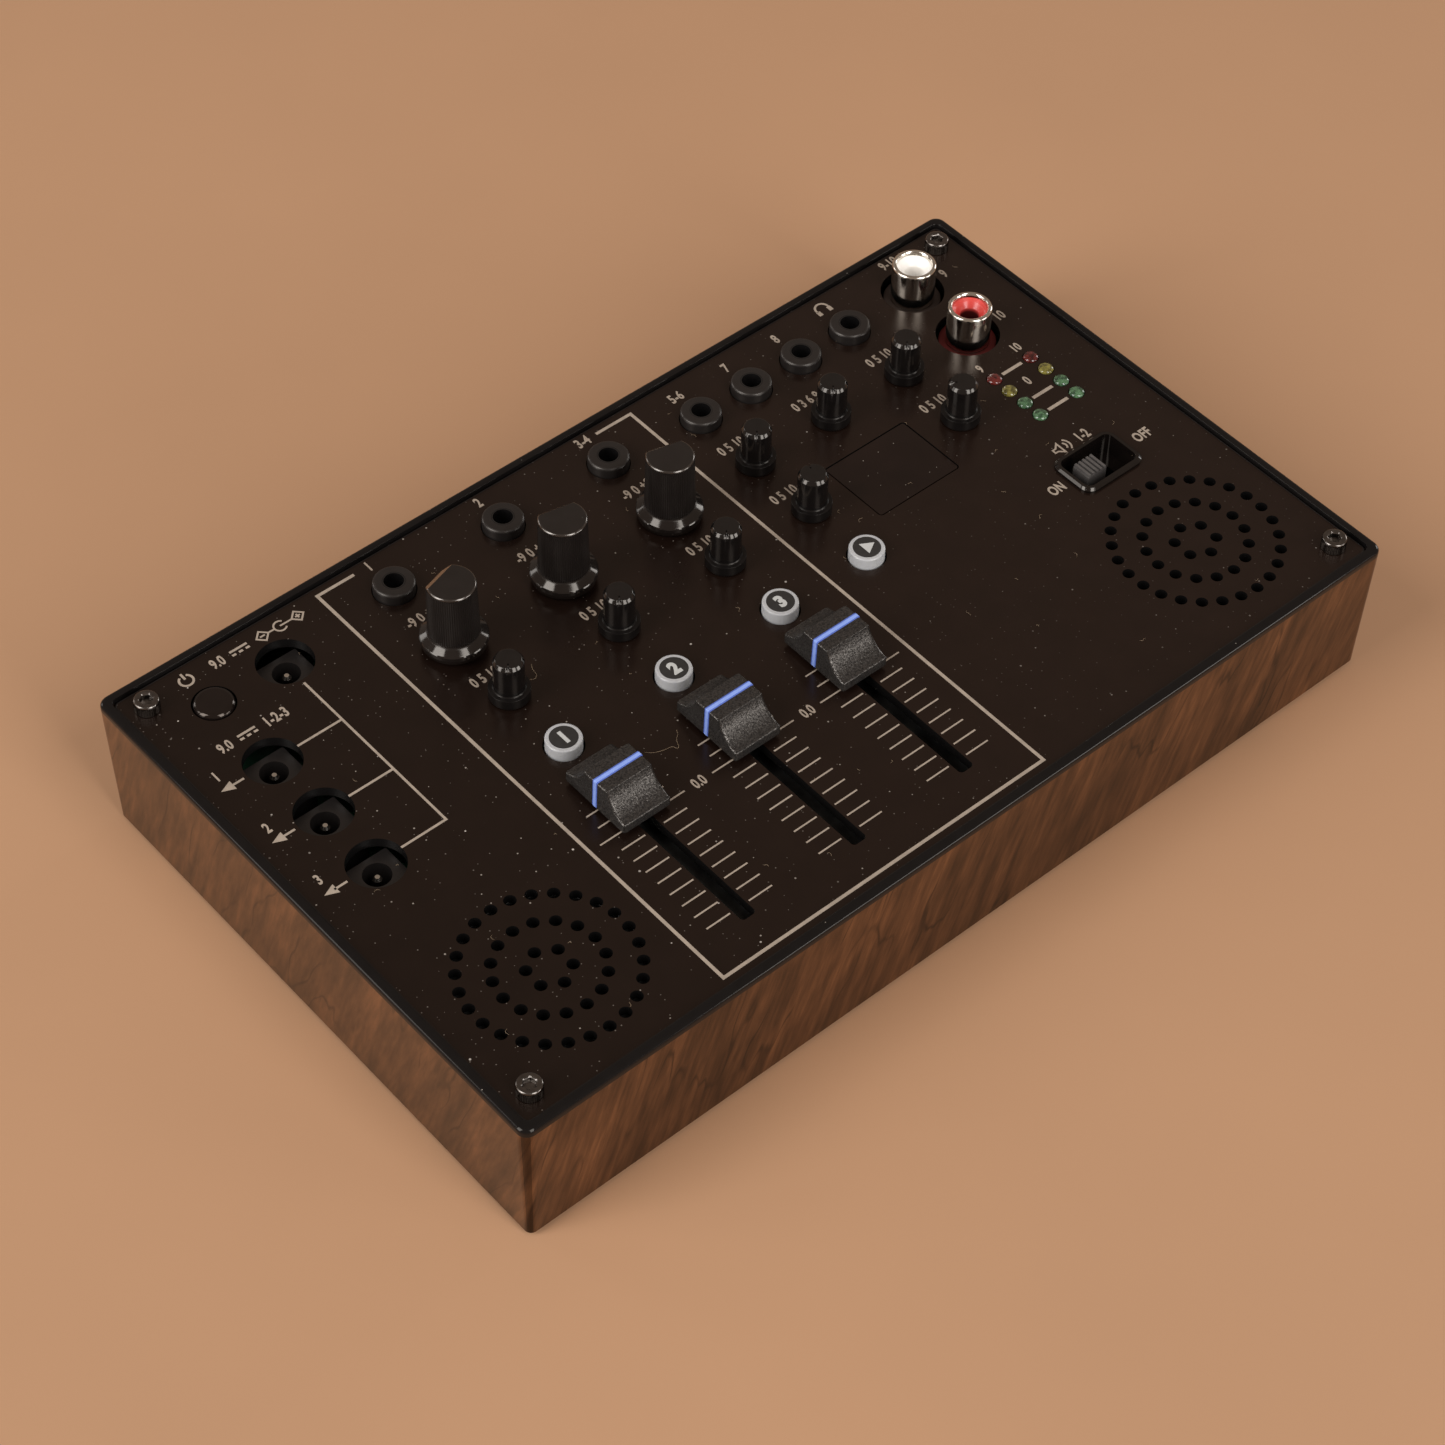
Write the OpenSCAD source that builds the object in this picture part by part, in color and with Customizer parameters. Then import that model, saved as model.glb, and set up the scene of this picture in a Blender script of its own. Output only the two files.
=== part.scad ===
// Compact three-channel audio mixer: sliding faders, rotary knobs, lit push
// buttons, a level meter, a small display and two built-in speakers.
// Millimetres. +X right, +Y towards the jack row, +Z up. The origin lies under
// the middle of the case, on the surface that the rubber feet stand on.

/* [Case] */
// Width of the case at the rim
case_w = 193; // [191:0.5:205]
// Depth of the case at the rim
case_d = 115; // [113.5:0.5:125]
// Height of the case from its lower edge to the rim
case_h = 29; // [28:0.5:36]
// Thickness of the case walls
wall_t = 3.2; // [2.8:0.1:3.6]
// Thickness of the case floor
floor_t = 2; // [1.5:0.1:3]
// How far each wall leans in towards the floor
draft = 0.7; // [0.2:0.1:1]
// Radius of the upright corners
corner_r = 2; // [1.8:0.1:4]
// Height of the black rim round the panel
rim_h = 1.5; // [1:0.1:1.9]
// Width of the black rim
rim_w = 1.75; // [1.4:0.05:2]
// Rounding of the rim's outer edge
rim_round = 0.8; // [0.3:0.1:0.9]
// How far the feet hold the case off the table
foot_stand = 1; // [0.8:0.1:3]
// Diameter of a rubber foot
foot_d = 12; // [8:0.5:16]
// Distance of a foot's axis from the case edge
foot_inset = 14; // [11:0.5:20]
// Depth of the pocket that a foot is glued into
foot_pocket = 0.6; // [0.3:0.1:1]

/* [Panel] */
// Thickness of the top panel
panel_t = 2; // [1.5:0.1:2.4]
// Height of the rim above the panel
panel_recess = 0.85; // [0.4:0.05:1]
// Gap between the panel and the rim
panel_gap = 0.3; // [0.1:0.05:0.4]
// Radius of the panel's corners
panel_r = 1; // [0.5:0.1:2]
// Distance of a panel screw from the case's side
screw_inset_x = 6.1; // [5.8:0.1:8]
// Distance of a panel screw from the case's front or back
screw_inset_y = 6.4; // [5.8:0.1:8]
// Thread diameter of the panel screws
screw_d = 2.5; // [2:0.1:3]
// Head diameter of the panel screws
screw_head_d = 4.5; // [4:0.1:5]
// Head height of the panel screws
screw_head_h = 2.5; // [2:0.1:3]
// Width across the flats of the hex socket
screw_hex = 2; // [1.5:0.1:2.2]
// Length of the thread under the head
screw_len = 8; // [6:0.5:12]
// Diameter of the corner posts
post_d = 7; // [6:0.5:8]

/* [Circuit board] */
// Space between the panel and the board
board_gap = 10.5; // [10:0.1:11]
// Thickness of the board
board_t = 1.6; // [1:0.1:2]
// Space between the board and the case walls
board_edge = 1; // [0.5:0.1:2]
// Diameter of the spacers
spacer_d = 5; // [4:0.1:6]
// Places of the spacers
spacer_drawn_places = [[-51, 46], [-50.5, -48.5], [16.2, 46], [17.5, -46], [48, -46], [88, 22], [-88, -10]];
// How far the board's screws reach into the spacers
board_screw_reach = 4; // [3:0.5:6]
// Height of the board screws' heads
board_screw_head_h = 1.75; // [1:0.05:2.5]

/* [Channels] */
// Middle of the first channel
channel_1_x = -42.1; // [-43:0.1:-41]
// Distance from channel to channel
channel_pitch = 24; // [23.5:0.1:24.5]
// Upper row of knobs, as a share of the way from the buttons to the jacks
high_row_share = 0.635; // [0.62:0.005:0.65]
// Lower row of knobs, as a share of the way from the buttons to the jacks
low_row_share = 0.311; // [0.3:0.001:0.33]
// Gap between a lit button and the fader cap in front of it
button_cap_gap = 3.15; // [2:0.05:4]

/* [Large knobs] */
// Diameter of the polished flange
big_flange_d = 12; // [11:0.1:13]
// Height of the flange's upright rim
big_flange_h = 1.3; // [1:0.1:2]
// Height of the polished cone above the rim
big_cone_h = 1.4; // [1:0.1:1.6]
// Diameter of the grip where it meets the cone
big_grip_d = 9.1; // [8.8:0.1:10]
// Diameter of the top
big_top_d = 8.6; // [8.2:0.1:8.7]
// Height from the flange's lower face to the top
big_knob_h = 14.3; // [13:0.1:16]
// Gap between the flange and the panel
big_knob_gap = 0.7; // [0.5:0.1:1]
// Bevel round the top
big_bevel = 0.3; // [0.15:0.05:0.4]
// Number of ribs round the grip
big_ribs = 72; // [48:1:90]
// Depth of the ribs
big_rib_depth = 0.1; // [0.05:0.01:0.15]
// Distance of the pointer face from the axis at the top
pointer_x = 2.8; // [2.4:0.1:3.4]
// Slope of the pointer face from upright
pointer_slope = 30; // [20:1:35]
// Diameter of the metal shaft
shaft_d = 6; // [5.5:0.1:6.2]
// Distance from the shaft's axis to its flat
shaft_flat = 1.5; // [1.2:0.1:2.2]

/* [Small knobs] */
// Column of the first right-hand knob
knob_col_a_x = 26; // [25.5:0.1:26.5]
// Column of the second right-hand knob
knob_col_b_x = 44.1; // [43.5:0.1:44.5]
// Column of the third right-hand knob
knob_col_c_x = 62.1; // [61.5:0.1:62.5]
// Diameter of the small knob's flange
small_flange_d = 7.3; // [6.8:0.1:8]
// Height of the flange up to the body
small_flange_h = 2.3; // [1.8:0.1:2.6]
// Diameter of the body above the flange
small_body_d = 5.6; // [5.5:0.1:5.8]
// Diameter of the body at the top
small_top_d = 5.4; // [5.2:0.1:5.5]
// Height from the flange's lower face to the top
small_knob_h = 9.1; // [8:0.1:10]
// Gap between the flange and the panel
small_knob_gap = 0.2; // [0.1:0.1:0.6]
// Rounding of the top edge
small_round = 0.7; // [0.3:0.1:0.9]
// Width of the pointer slot
slot_w = 0.4; // [0.3:0.1:0.8]
// Depth of the pointer slot
slot_depth = 0.35; // [0.2:0.05:0.5]
// Length of the pointer slot down the body
slot_len = 3; // [2:0.1:4]
// Diameter of the stem below the flange
stem_d = 5.3; // [5:0.1:5.6]

/* [Faders] */
// Travel of the faders
fader_travel = 30; // [28:0.5:32]
// Space between a fader and the front wall of the case
fader_front_gap = 2.7; // [1:0.1:5]
// Space in a fader's body past each end of the lever's slot
fader_end = 4.5; // [4:0.1:6]
// Width of a fader's body
fader_body_w = 9; // [8:0.1:10]
// Height of a fader's body
fader_body_h = 7; // [6.5:0.1:8]
// Width of the slots in the panel
fader_slot_w = 3; // [2.6:0.1:3.4]
// Length of a cap along its travel
cap_len = 15.3; // [14.5:0.1:16.5]
// Width of a cap at its lower edge
cap_w = 10; // [9.5:0.1:11]
// Height of a cap
cap_h = 6.1; // [5.5:0.1:7]
// Gap between a cap and the panel
cap_gap = 1; // [0.5:0.1:1.5]
// Length of the flat top of a cap
cap_flat = 6; // [5:0.1:7]
// Height of the upright lips at a cap's ends
cap_lip = 1.8; // [1:0.1:2.2]
// How far each side of a cap leans in
cap_lean = 0.2; // [0.1:0.1:0.7]
// Depth of the hollow in each slope
cap_hollow = 1; // [0.4:0.1:1.3]
// Thickness of the lever blade
blade_t = 1.2; // [1:0.1:1.6]
// Width of the lever blade along the travel
blade_w = 4; // [3:0.1:5]

/* [Buttons] */
// Diameter of a lit button at the panel
button_d = 6.6; // [6.5:0.1:7.2]
// Diameter of a lit button at its top
button_top_d = 6.3; // [6:0.1:6.4]
// Height of a lit button above the panel
button_h = 2.1; // [1.7:0.1:3]
// Rounding of the buttons' top edge
button_round = 0.3; // [0.2:0.1:0.5]
// Rounding of the power button's edge
power_round = 0.5; // [0.2:0.1:0.6]
// Travel of every push button
button_travel = 1; // [0.5:0.1:1.2]
// Diameter of the power button
power_d = 7.2; // [6.5:0.1:8]
// Height of the power button above the panel
power_h = 0.7; // [0.6:0.1:2]
// Gap between a button and the panel
button_gap = 0.3; // [0.2:0.05:0.4]

/* [Audio jacks] */
// Row of the channel jacks
channel_jack_y = 46.4; // [45.5:0.1:47]
// Row of the other 3.5 mm jacks
line_jack_y = 44.5; // [44:0.1:45.5]
// First of the other 3.5 mm jacks
line_jack_1_x = 26; // [25.5:0.1:26.5]
// Distance from jack to jack
line_jack_pitch = 12.07; // [11.5:0.01:12.5]
// Diameter of a jack's collar
collar_d = 7.6; // [7:0.1:8]
// Height of the collar above the panel
collar_h = 2.2; // [1.8:0.1:3]
// Diameter of the plug hole
jack_bore_d = 3.6; // [3.55:0.01:3.7]
// Depth of the plug hole
jack_bore_depth = 14.2; // [13.5:0.1:14.4]
// Side of a jack's square body
jack_body = 9; // [8.6:0.1:10]

/* [Phono jacks] */
// Distance of the phono jacks from the case's side
phono_inset_x = 17.8; // [17:0.1:19]
// Rows of the phono jacks
phono_y = [45.1, 30];
// Outer diameter of a phono shell
phono_shell_d = 8.3; // [8.2:0.1:8.4]
// Wall of a phono shell
phono_shell_t = 0.6; // [0.4:0.1:0.7]
// Width of the rolled lip at a shell's mouth
phono_lip = 0.95; // [0.8:0.05:1.1]
// Height of a phono shell above the panel
phono_h = 6.95; // [6.5:0.05:8]
// Diameter of the pin hole
phono_bore_d = 3.4; // [3.3:0.1:3.6]
// Depth of the pin hole
phono_bore_depth = 12; // [9:0.5:15]
// Diameter of the hole in the panel
phono_hole_d = 12; // [11.5:0.1:12.5]
// How far the coloured seat lies below the panel's face
phono_seat_drop = 1.5; // [1:0.1:2]
// Side of a phono jack's square body
phono_body = 10; // [9:0.1:11]

/* [Power jacks] */
// Distance of the power inlet from the case's side
dc_in_inset_x = 30; // [28:0.1:32]
// Row of the power inlet and the power button
dc_in_y = 44.9; // [44:0.1:46]
// Distance of the outlets and the power button from the case's side
dc_out_inset_x = 15.3; // [14:0.1:16]
// Distance from outlet to outlet, the front one in line with the lit buttons
dc_out_pitch = 14.15; // [13:0.05:14.5]
// Diameter of the holes in the panel
dc_hole_d = 10.3; // [9.8:0.1:10.6]
// How far the jacks' faces lie below the panel's face
dc_drop = 3; // [2.6:0.1:4]
// Diameter of a jack's hole
dc_bore_d = 5; // [4.8:0.1:5.5]
// Diameter of the centre pin
dc_pin_d = 1.7; // [1.5:0.1:2]
// Side of a power jack's square body
dc_body = 9; // [8.6:0.1:10]

/* [Meter and display] */
// Distances of the meter's two columns from the case's side
meter_inset_x = [22.5, 13.3];
// Red row of the level meter
meter_top_y = 17.9; // [17:0.1:19]
// Distance from row to row of the meter
meter_pitch = 4.03; // [3.9:0.01:4.2]
// Diameter of a lamp
led_d = 2.9; // [2.8:0.1:3.1]
// Middle of the display
display_xy = [44, 12.95];
// Width of the display window
window_w = 18.8; // [17:0.1:20]
// Depth of the display window
window_d = 14.7; // [13:0.1:15.5]
// Gap round the display window
window_gap = 0.25; // [0.1:0.05:0.4]

/* [Speakers] */
// Space between a speaker and the side wall of the case
speaker_side_gap = 2.3; // [1:0.1:4]
// Space between a speaker and the front wall of the case
speaker_front_gap = 1.9; // [1:0.1:4]
// Diameter of a hole in the grille
grille_hole_d = 2.2; // [1.8:0.1:2.4]
// Radii of the three rings of holes
grille_r = [14.95, 9.35, 3.8];
// Number of holes in each ring
grille_n = [26, 16, 6];
// Outer diameter of a speaker
speaker_d = 36; // [35:0.5:37]

/* [Slide switch] */
// Distance of the slide switch from the case's side
switch_inset_x = 23.3; // [22:0.1:25]
// Space between the slide switch and the speaker in front of it
switch_speaker_gap = 2; // [1:0.1:3]
// Width of the switch's frame
frame_w = 14.4; // [14:0.1:15]
// Depth of the switch's frame
frame_d = 10.1; // [9.6:0.1:10.6]
// Height of the frame above the panel
frame_h = 0.9; // [0.6:0.1:1.4]
// Width of the well
well_w = 12.4; // [12:0.1:12.8]
// Depth of the well
well_d = 8.1; // [7.6:0.1:8.4]
// Travel of the slider
switch_travel = 4; // [3:0.1:4.2]
// Width of the ribbed slider
slider_w = 4.6; // [4:0.1:5.2]
// Depth of the ribbed slider
slider_d = 3.8; // [3.4:0.1:4.6]

/* [Hidden] */
$fn = 48;

// Heights of the faces that everything hangs from
case_top = foot_stand + case_h;
rim_bottom = case_top - rim_h;
panel_top = case_top - panel_recess;
panel_bottom = panel_top - panel_t;
board_top = panel_bottom - board_gap;
board_bottom = board_top - board_t;
floor_top = foot_stand + floor_t;

// Outlines worked out from the case
opening_w = case_w - 2 * rim_w;
opening_d = case_d - 2 * rim_w;
panel_w = opening_w - 2 * panel_gap;
panel_d = opening_d - 2 * panel_gap;
inner_w = case_w - 2 * wall_t;
inner_d = case_d - 2 * wall_t;
inner_r = 1;
board_w = inner_w - 2 * board_edge;
board_d = inner_d - 2 * board_edge;
screw_x = case_w / 2 - screw_inset_x;
screw_y = case_d / 2 - screw_inset_y;
foot_x = case_w / 2 - foot_inset;
foot_y = case_d / 2 - foot_inset;

// Case that the places in the middle of the panel are given for. They spread with the case
drawn_w = 193;
drawn_d = 115;
spread_x = case_w / drawn_w;
spread_y = case_d / drawn_d;

// Sizes that set the room round a part
small_pot_body = 9.5;
lamp_lip = 0.4;

// Clearances shared by every fit
thread_gap = 0.05;
panel_hole_gap = 0.2;
running_gap = 0.05;
slide_gap = 0.3;
slot_end_gap = 1;
frame_lip = 0.4;
glue_gap = 0.05;
eps = 0.01;

// Rows from the front wall back
fader_slot_len = fader_travel + blade_w + 2 * slot_end_gap;
fader_body_len = fader_slot_len + 2 * fader_end;
fader_mid_y = fader_front_gap + fader_body_len / 2 - inner_d / 2;
fader_top_y = fader_mid_y + fader_travel / 2;
button_row_y = fader_top_y + cap_len / 2 + button_cap_gap + button_d / 2;
channel_jack_row_y = spread_y * channel_jack_y;
row_room = channel_jack_row_y - button_row_y;
low_row_y = button_row_y + low_row_share * row_room;
high_row_y = button_row_y + high_row_share * row_room;
line_jack_row_y = spread_y * line_jack_y;
dc_in_row_y = spread_y * dc_in_y;
speaker_y = speaker_front_gap + speaker_d / 2 - inner_d / 2;
neck_d = frame_d - 2 * frame_lip;
switch_y = speaker_y + speaker_d / 2 + switch_speaker_gap + neck_d / 2;

// Columns from left to right
dc_out_x = dc_out_inset_x - case_w / 2;
dc_in_x = dc_in_inset_x - case_w / 2;
channel_x = [for (i = [0:2]) spread_x * (channel_1_x + i * channel_pitch)];
speaker_x = inner_w / 2 - speaker_side_gap - speaker_d / 2;
phono_x = case_w / 2 - phono_inset_x;
meter_x = [for (inset = meter_inset_x) case_w / 2 - inset];
knob_col_x = spread_x * [knob_col_a_x, knob_col_b_x, knob_col_c_x];

// Places that repeat
screw_places = corners(screw_x, screw_y);
foot_places = corners(foot_x, foot_y);
spacer_places = [for (p = spacer_drawn_places) spread(p)];
channel_jack_places = [for (x = channel_x) [x, channel_jack_row_y]];
line_jack_places = [for (i = [0:3]) [spread_x * (line_jack_1_x + i * line_jack_pitch), line_jack_row_y]];
phono_places = [for (y = phono_y) [phono_x, spread_y * y]];
power_xy = [dc_out_x, dc_in_row_y];
dc_places = concat([[dc_in_x, dc_in_row_y]], [for (k = [2:-1:0]) [dc_out_x, spread_y * k * dc_out_pitch]]);
big_knob_places = [for (x = channel_x) [x, high_row_y]];
send_knob_places = [for (x = channel_x) [x, low_row_y]];
width_xy = [knob_col_x[0], high_row_y];
dynamics_xy = [knob_col_x[1], high_row_y];
speed_xy = [knob_col_x[2], high_row_y];
tempo_xy = [knob_col_x[0], low_row_y];
volume_xy = [knob_col_x[2], low_row_y];
right_knob_places = [width_xy, dynamics_xy, speed_xy, tempo_xy, volume_xy];
small_knob_places = concat(send_knob_places, right_knob_places);
button_places = concat([for (x = channel_x) [x, button_row_y]], [[knob_col_x[0], button_row_y]]);
meter_y = [for (k = [0:3]) spread_y * meter_top_y - k * meter_pitch];
speaker_places = [[-speaker_x, speaker_y], [speaker_x, speaker_y]];
display_place = spread(display_xy);
switch_place = [case_w / 2 - switch_inset_x, switch_y];

// Turn of each pointer from straight back, anticlockwise
big_knob_turn = [16, -12, -14];
small_knob_min_turn = 140;
tempo_turn = -20;
volume_turn = 60;
// How far each large knob stands off its shaft's shoulder
big_knob_lift = [0.6, 0.3, 0];

// Place on the panel, moved as the case grows or shrinks
function spread(p) = [spread_x * p[0], spread_y * p[1]];

function corners(x, y) = [for (sx = [-1, 1], sy = [-1, 1]) [sx * x, sy * y]];

// Points of an arc about c from angle a0 to a1
function arc(c, r, a0, a1, n) =
    [for (i = [0:n]) let (a = a0 + (a1 - a0) * i / n) c + r * [cos(a), sin(a)]];

// Flat outline with rounded corners
module rounded_rect(w, d, r) {
    square([w - 2 * r, d], center = true);
    square([w, d - 2 * r], center = true);
    for (c = corners(w / 2 - r, d / 2 - r)) translate(c) circle(r = r);
}

// Plate with rounded corners from z0 to z1
module plate(w, d, z0, z1, r) {
    translate([0, 0, z0]) linear_extrude(z1 - z0) rounded_rect(w, d, r);
}

module at(p, z = 0) {
    translate([p[0], p[1], z]) children();
}

// Round column from z0 to z1
module column(d, z0, z1) {
    translate([0, 0, z0]) cylinder(h = z1 - z0, d = d);
}

// Square-based block from z0 to z1
module block(w, d, z0, z1) {
    translate([-w / 2, -d / 2, z0]) cube([w, d, z1 - z0]);
}

/* Case */

module case_tub() {
    color("#5b5450") {
        difference() {
            hull() {
                for (c = corners(case_w / 2 - corner_r, case_d / 2 - corner_r))
                    at(c, foot_stand)
                        cylinder(h = rim_bottom - foot_stand, r1 = corner_r - draft, r2 = corner_r, $fn = 32);
            }
            plate(opening_w, opening_d, panel_bottom, case_top, panel_r + panel_gap);
            plate(inner_w, inner_d, floor_top, case_top, inner_r);
            for (p = foot_places) at(p) column(foot_d, 0, foot_stand + foot_pocket);
        }
        for (p = screw_places) at(p) corner_post();
    }
}

module corner_post() {
    difference() {
        column(post_d, floor_top, panel_bottom);
        column(screw_d + 2 * thread_gap, panel_bottom - screw_len, panel_bottom + eps);
    }
}

module top_rim() {
    color("#141110") difference() {
        hull() {
            for (c = corners(case_w / 2 - corner_r, case_d / 2 - corner_r))
                at(c, rim_bottom) rotate_extrude($fn = 32) polygon(concat(
                    [[0, 0], [corner_r, 0]],
                    arc([corner_r - rim_round, rim_h - rim_round], rim_round, 0, 90, 5),
                    [[0, rim_h]]
                ));
        }
        plate(opening_w, opening_d, rim_bottom - eps, case_top + eps, panel_r + panel_gap);
    }
}

module rubber_feet() {
    top = foot_stand + foot_pocket;
    edge = min(0.3, foot_stand / 3);
    color("#1d1c1b") for (p = foot_places) at(p) rotate_extrude()
        polygon([[0, 0], [foot_d / 2 - edge, 0], [foot_d / 2, edge], [foot_d / 2, top], [0, top]]);
}

/* Panel */

module top_panel() {
    color("#463a33") difference() {
        plate(panel_w, panel_d, panel_bottom, panel_top, panel_r);
        for (p = screw_places) at(p) panel_hole(screw_d + 2 * panel_hole_gap);
        for (p = dc_places) at(p) panel_hole(dc_hole_d);
        for (p = concat(channel_jack_places, line_jack_places)) at(p) panel_hole(collar_d + 2 * panel_hole_gap);
        for (p = phono_places) at(p) panel_hole(phono_hole_d);
        for (p = big_knob_places) at(p) panel_hole(shaft_d + 2 * slide_gap);
        for (p = small_knob_places) at(p) panel_hole(stem_d + 2 * slide_gap);
        for (p = button_places) at(p) panel_hole(button_d + 2 * button_gap);
        at(power_xy) panel_hole(power_d + 2 * button_gap);
        for (x = meter_x, y = meter_y) at([x, y]) panel_hole(led_d + panel_hole_gap);
        for (x = channel_x) at([x, fader_mid_y]) fader_slot();
        for (p = speaker_places) at(p) grille_holes();
        at(display_place) plate(window_w + 2 * window_gap, window_d + 2 * window_gap,
            panel_bottom - eps, panel_top + eps, window_r + window_gap);
        at(switch_place) plate(neck_w + 2 * panel_hole_gap, neck_d + 2 * panel_hole_gap,
            panel_bottom - eps, panel_top + eps, frame_round - frame_lip + panel_hole_gap);
    }
}

module panel_hole(d) {
    column(d, panel_bottom - eps, panel_top + eps);
}

module fader_slot() {
    plate(fader_slot_w, fader_slot_len, panel_bottom - eps, panel_top + eps, fader_slot_w / 4);
}

// Three rings of round holes, each ring starting at the back
module grille_holes() {
    for (k = [0:2], i = [0:grille_n[k] - 1])
        rotate([0, 0, i * 360 / grille_n[k]]) translate([0, grille_r[k], 0])
            column(grille_hole_d, panel_bottom - eps, panel_top + eps, $fn = 24);
}

module panel_screws() {
    bevel = 0.3;
    hex_depth = 1.25;
    color("#3a3836") for (p = screw_places) at(p, panel_top) difference() {
        union() {
            rotate_extrude() polygon([
                [0, 0], [screw_head_d / 2, 0], [screw_head_d / 2, screw_head_h - bevel],
                [screw_head_d / 2 - bevel, screw_head_h], [0, screw_head_h]
            ]);
            column(screw_d, -screw_len, eps);
        }
        translate([0, 0, screw_head_h - hex_depth])
            cylinder(h = hex_depth + eps, d = screw_hex / cos(30), $fn = 6);
    }
}

/* Circuit board */

module main_board() {
    color("#1f4a35") difference() {
        plate(board_w, board_d, board_bottom, board_top, inner_r);
        for (p = screw_places) at(p) column(post_d + 2 * board_edge, board_bottom - eps, board_top + eps);
        for (p = spacer_places) at(p) column(screw_d + 2 * panel_hole_gap, board_bottom - eps, board_top + eps);
    }
}

module board_spacers() {
    color("#b59a55") for (p = spacer_places) at(p) difference() {
        translate([0, 0, board_top]) cylinder(h = board_gap, d = spacer_d / cos(30), $fn = 6);
        column(screw_d + 2 * thread_gap, board_top - eps, board_top + board_screw_reach);
    }
}

module board_screws() {
    color("#8d8d8d") for (p = spacer_places) at(p) {
        column(screw_head_d, board_bottom - board_screw_head_h, board_bottom);
        column(screw_d, board_bottom - eps, board_top + board_screw_reach - 2 * thread_gap);
    }
}

/* 3.5 mm jacks */

module audio_jack() {
    top = panel_top + collar_h;
    edge = 0.6;
    difference() {
        union() {
            block(jack_body, jack_body, board_top, panel_bottom);
            rotate_extrude() polygon(concat(
                [[0, panel_bottom - eps], [collar_d / 2, panel_bottom - eps]],
                arc([collar_d / 2 - edge, top - edge], edge, 0, 90, 5),
                [[0, top]]
            ));
        }
        column(jack_bore_d, top - jack_bore_depth, top + eps);
    }
}

module channel_jacks() {
    color("#25201e") for (p = channel_jack_places) at(p) audio_jack();
}

module line_jacks() {
    color("#25201e") for (p = line_jack_places) at(p) audio_jack();
}

/* Phono jacks */

phono_seat = panel_top - phono_seat_drop;
phono_top = panel_top + phono_h;

module phono_shell() {
    foot = 0.3;
    outer = phono_shell_d / 2;
    inner = outer - phono_shell_t;
    roll = phono_lip / 2;
    color("#b9b4ad") rotate_extrude() polygon(concat(
        [
            [inner, phono_seat], [outer + foot, phono_seat],
            [outer + foot, phono_seat + foot], [outer, phono_seat + foot]
        ],
        arc([outer - roll, phono_top - roll], roll, 0, 180, 8),
        [[outer - phono_lip, phono_top - phono_lip], [inner, phono_top - phono_lip]]
    ));
}

module phono_insert(tint) {
    core_top = phono_top - phono_lip;
    funnel_h = 1.2;
    base_h = 1.2;
    base_gap = 0.6;
    color(tint) difference() {
        union() {
            column(phono_shell_d - 2 * phono_shell_t, phono_seat - eps, core_top);
            column(phono_hole_d - 2 * base_gap, phono_seat - base_h, phono_seat);
            block(phono_body, phono_body, board_top, phono_seat - base_h + eps);
        }
        column(phono_bore_d, core_top - funnel_h - phono_bore_depth, phono_top);
        translate([0, 0, core_top - funnel_h + eps])
            cylinder(h = funnel_h, d1 = phono_bore_d, d2 = phono_shell_d - 2 * phono_lip);
    }
}

module phono_shell_left() { at(phono_places[0]) phono_shell(); }
module phono_shell_right() { at(phono_places[1]) phono_shell(); }
module phono_insert_left() { at(phono_places[0]) phono_insert("#d9cfc4"); }
module phono_insert_right() { at(phono_places[1]) phono_insert("#9c2a26"); }

/* Power jacks */

dc_face = panel_top - dc_drop;
dc_floor_t = 1;
dc_bore_offset = 0.8;

// Square jacks, each with its hole nearer the back
module dc_jacks() {
    color("#2b2725") for (p = dc_places) at(p) difference() {
        translate([0, -dc_bore_offset, 0]) block(dc_body, dc_body, board_top, dc_face);
        column(dc_bore_d, board_top + dc_floor_t, dc_face + eps);
    }
}

module dc_centre_pins() {
    tip = 0.5;
    base = board_top + dc_floor_t;
    top = dc_face - tip;
    color("#c9c4ba") for (p = dc_places) at(p) rotate_extrude()
        polygon([[0, base], [dc_pin_d / 2, base], [dc_pin_d / 2, top - tip], [dc_pin_d / 4, top], [0, top]]);
}

/* Level meter */

// A lamp that fills its hole, with a low dome above the panel, on two wire legs
module lamp() {
    flange_drop = 1.4;
    flange_h = 1;
    leg_d = 0.5;
    leg_x = 1.27;
    dome_h = 0.4;
    dome_r = (pow(led_d / 2, 2) + dome_h * dome_h) / 2 / dome_h;
    dome_a = asin(led_d / 2 / dome_r);
    flange_z = panel_bottom - flange_drop;
    flange_r = led_d / 2 + lamp_lip;
    rotate_extrude() polygon(concat(
        [[0, flange_z], [flange_r, flange_z], [flange_r, flange_z + flange_h], [led_d / 2, flange_z + flange_h]],
        arc([0, panel_top + dome_h - dome_r], dome_r, 90 - dome_a, 90, 4)
    ));
    for (sx = [-1, 1]) translate([sx * leg_x, 0, 0]) column(leg_d, board_top, flange_z + eps, $fn = 16);
}

module lamp_row(y) {
    for (x = meter_x) at([x, y]) lamp();
}

module red_lamps() { color("#b9433c") lamp_row(meter_y[0]); }
module yellow_lamps() { color("#b3a23c") lamp_row(meter_y[1]); }
module green_lamps() { color("#5fae76") for (k = [2, 3]) lamp_row(meter_y[k]); }

/* Display */

window_r = 0.5;
window_flange_t = 0.8;
window_sink = 0.05;
display_rim = 1.2;

module display_window() {
    color("#1c1714") at(display_place) {
        plate(window_w, window_d, panel_bottom, panel_top - window_sink, window_r);
        plate(window_w + 2 * display_rim, window_d + 2 * display_rim,
            panel_bottom - window_flange_t, panel_bottom, window_r);
    }
}

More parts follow.
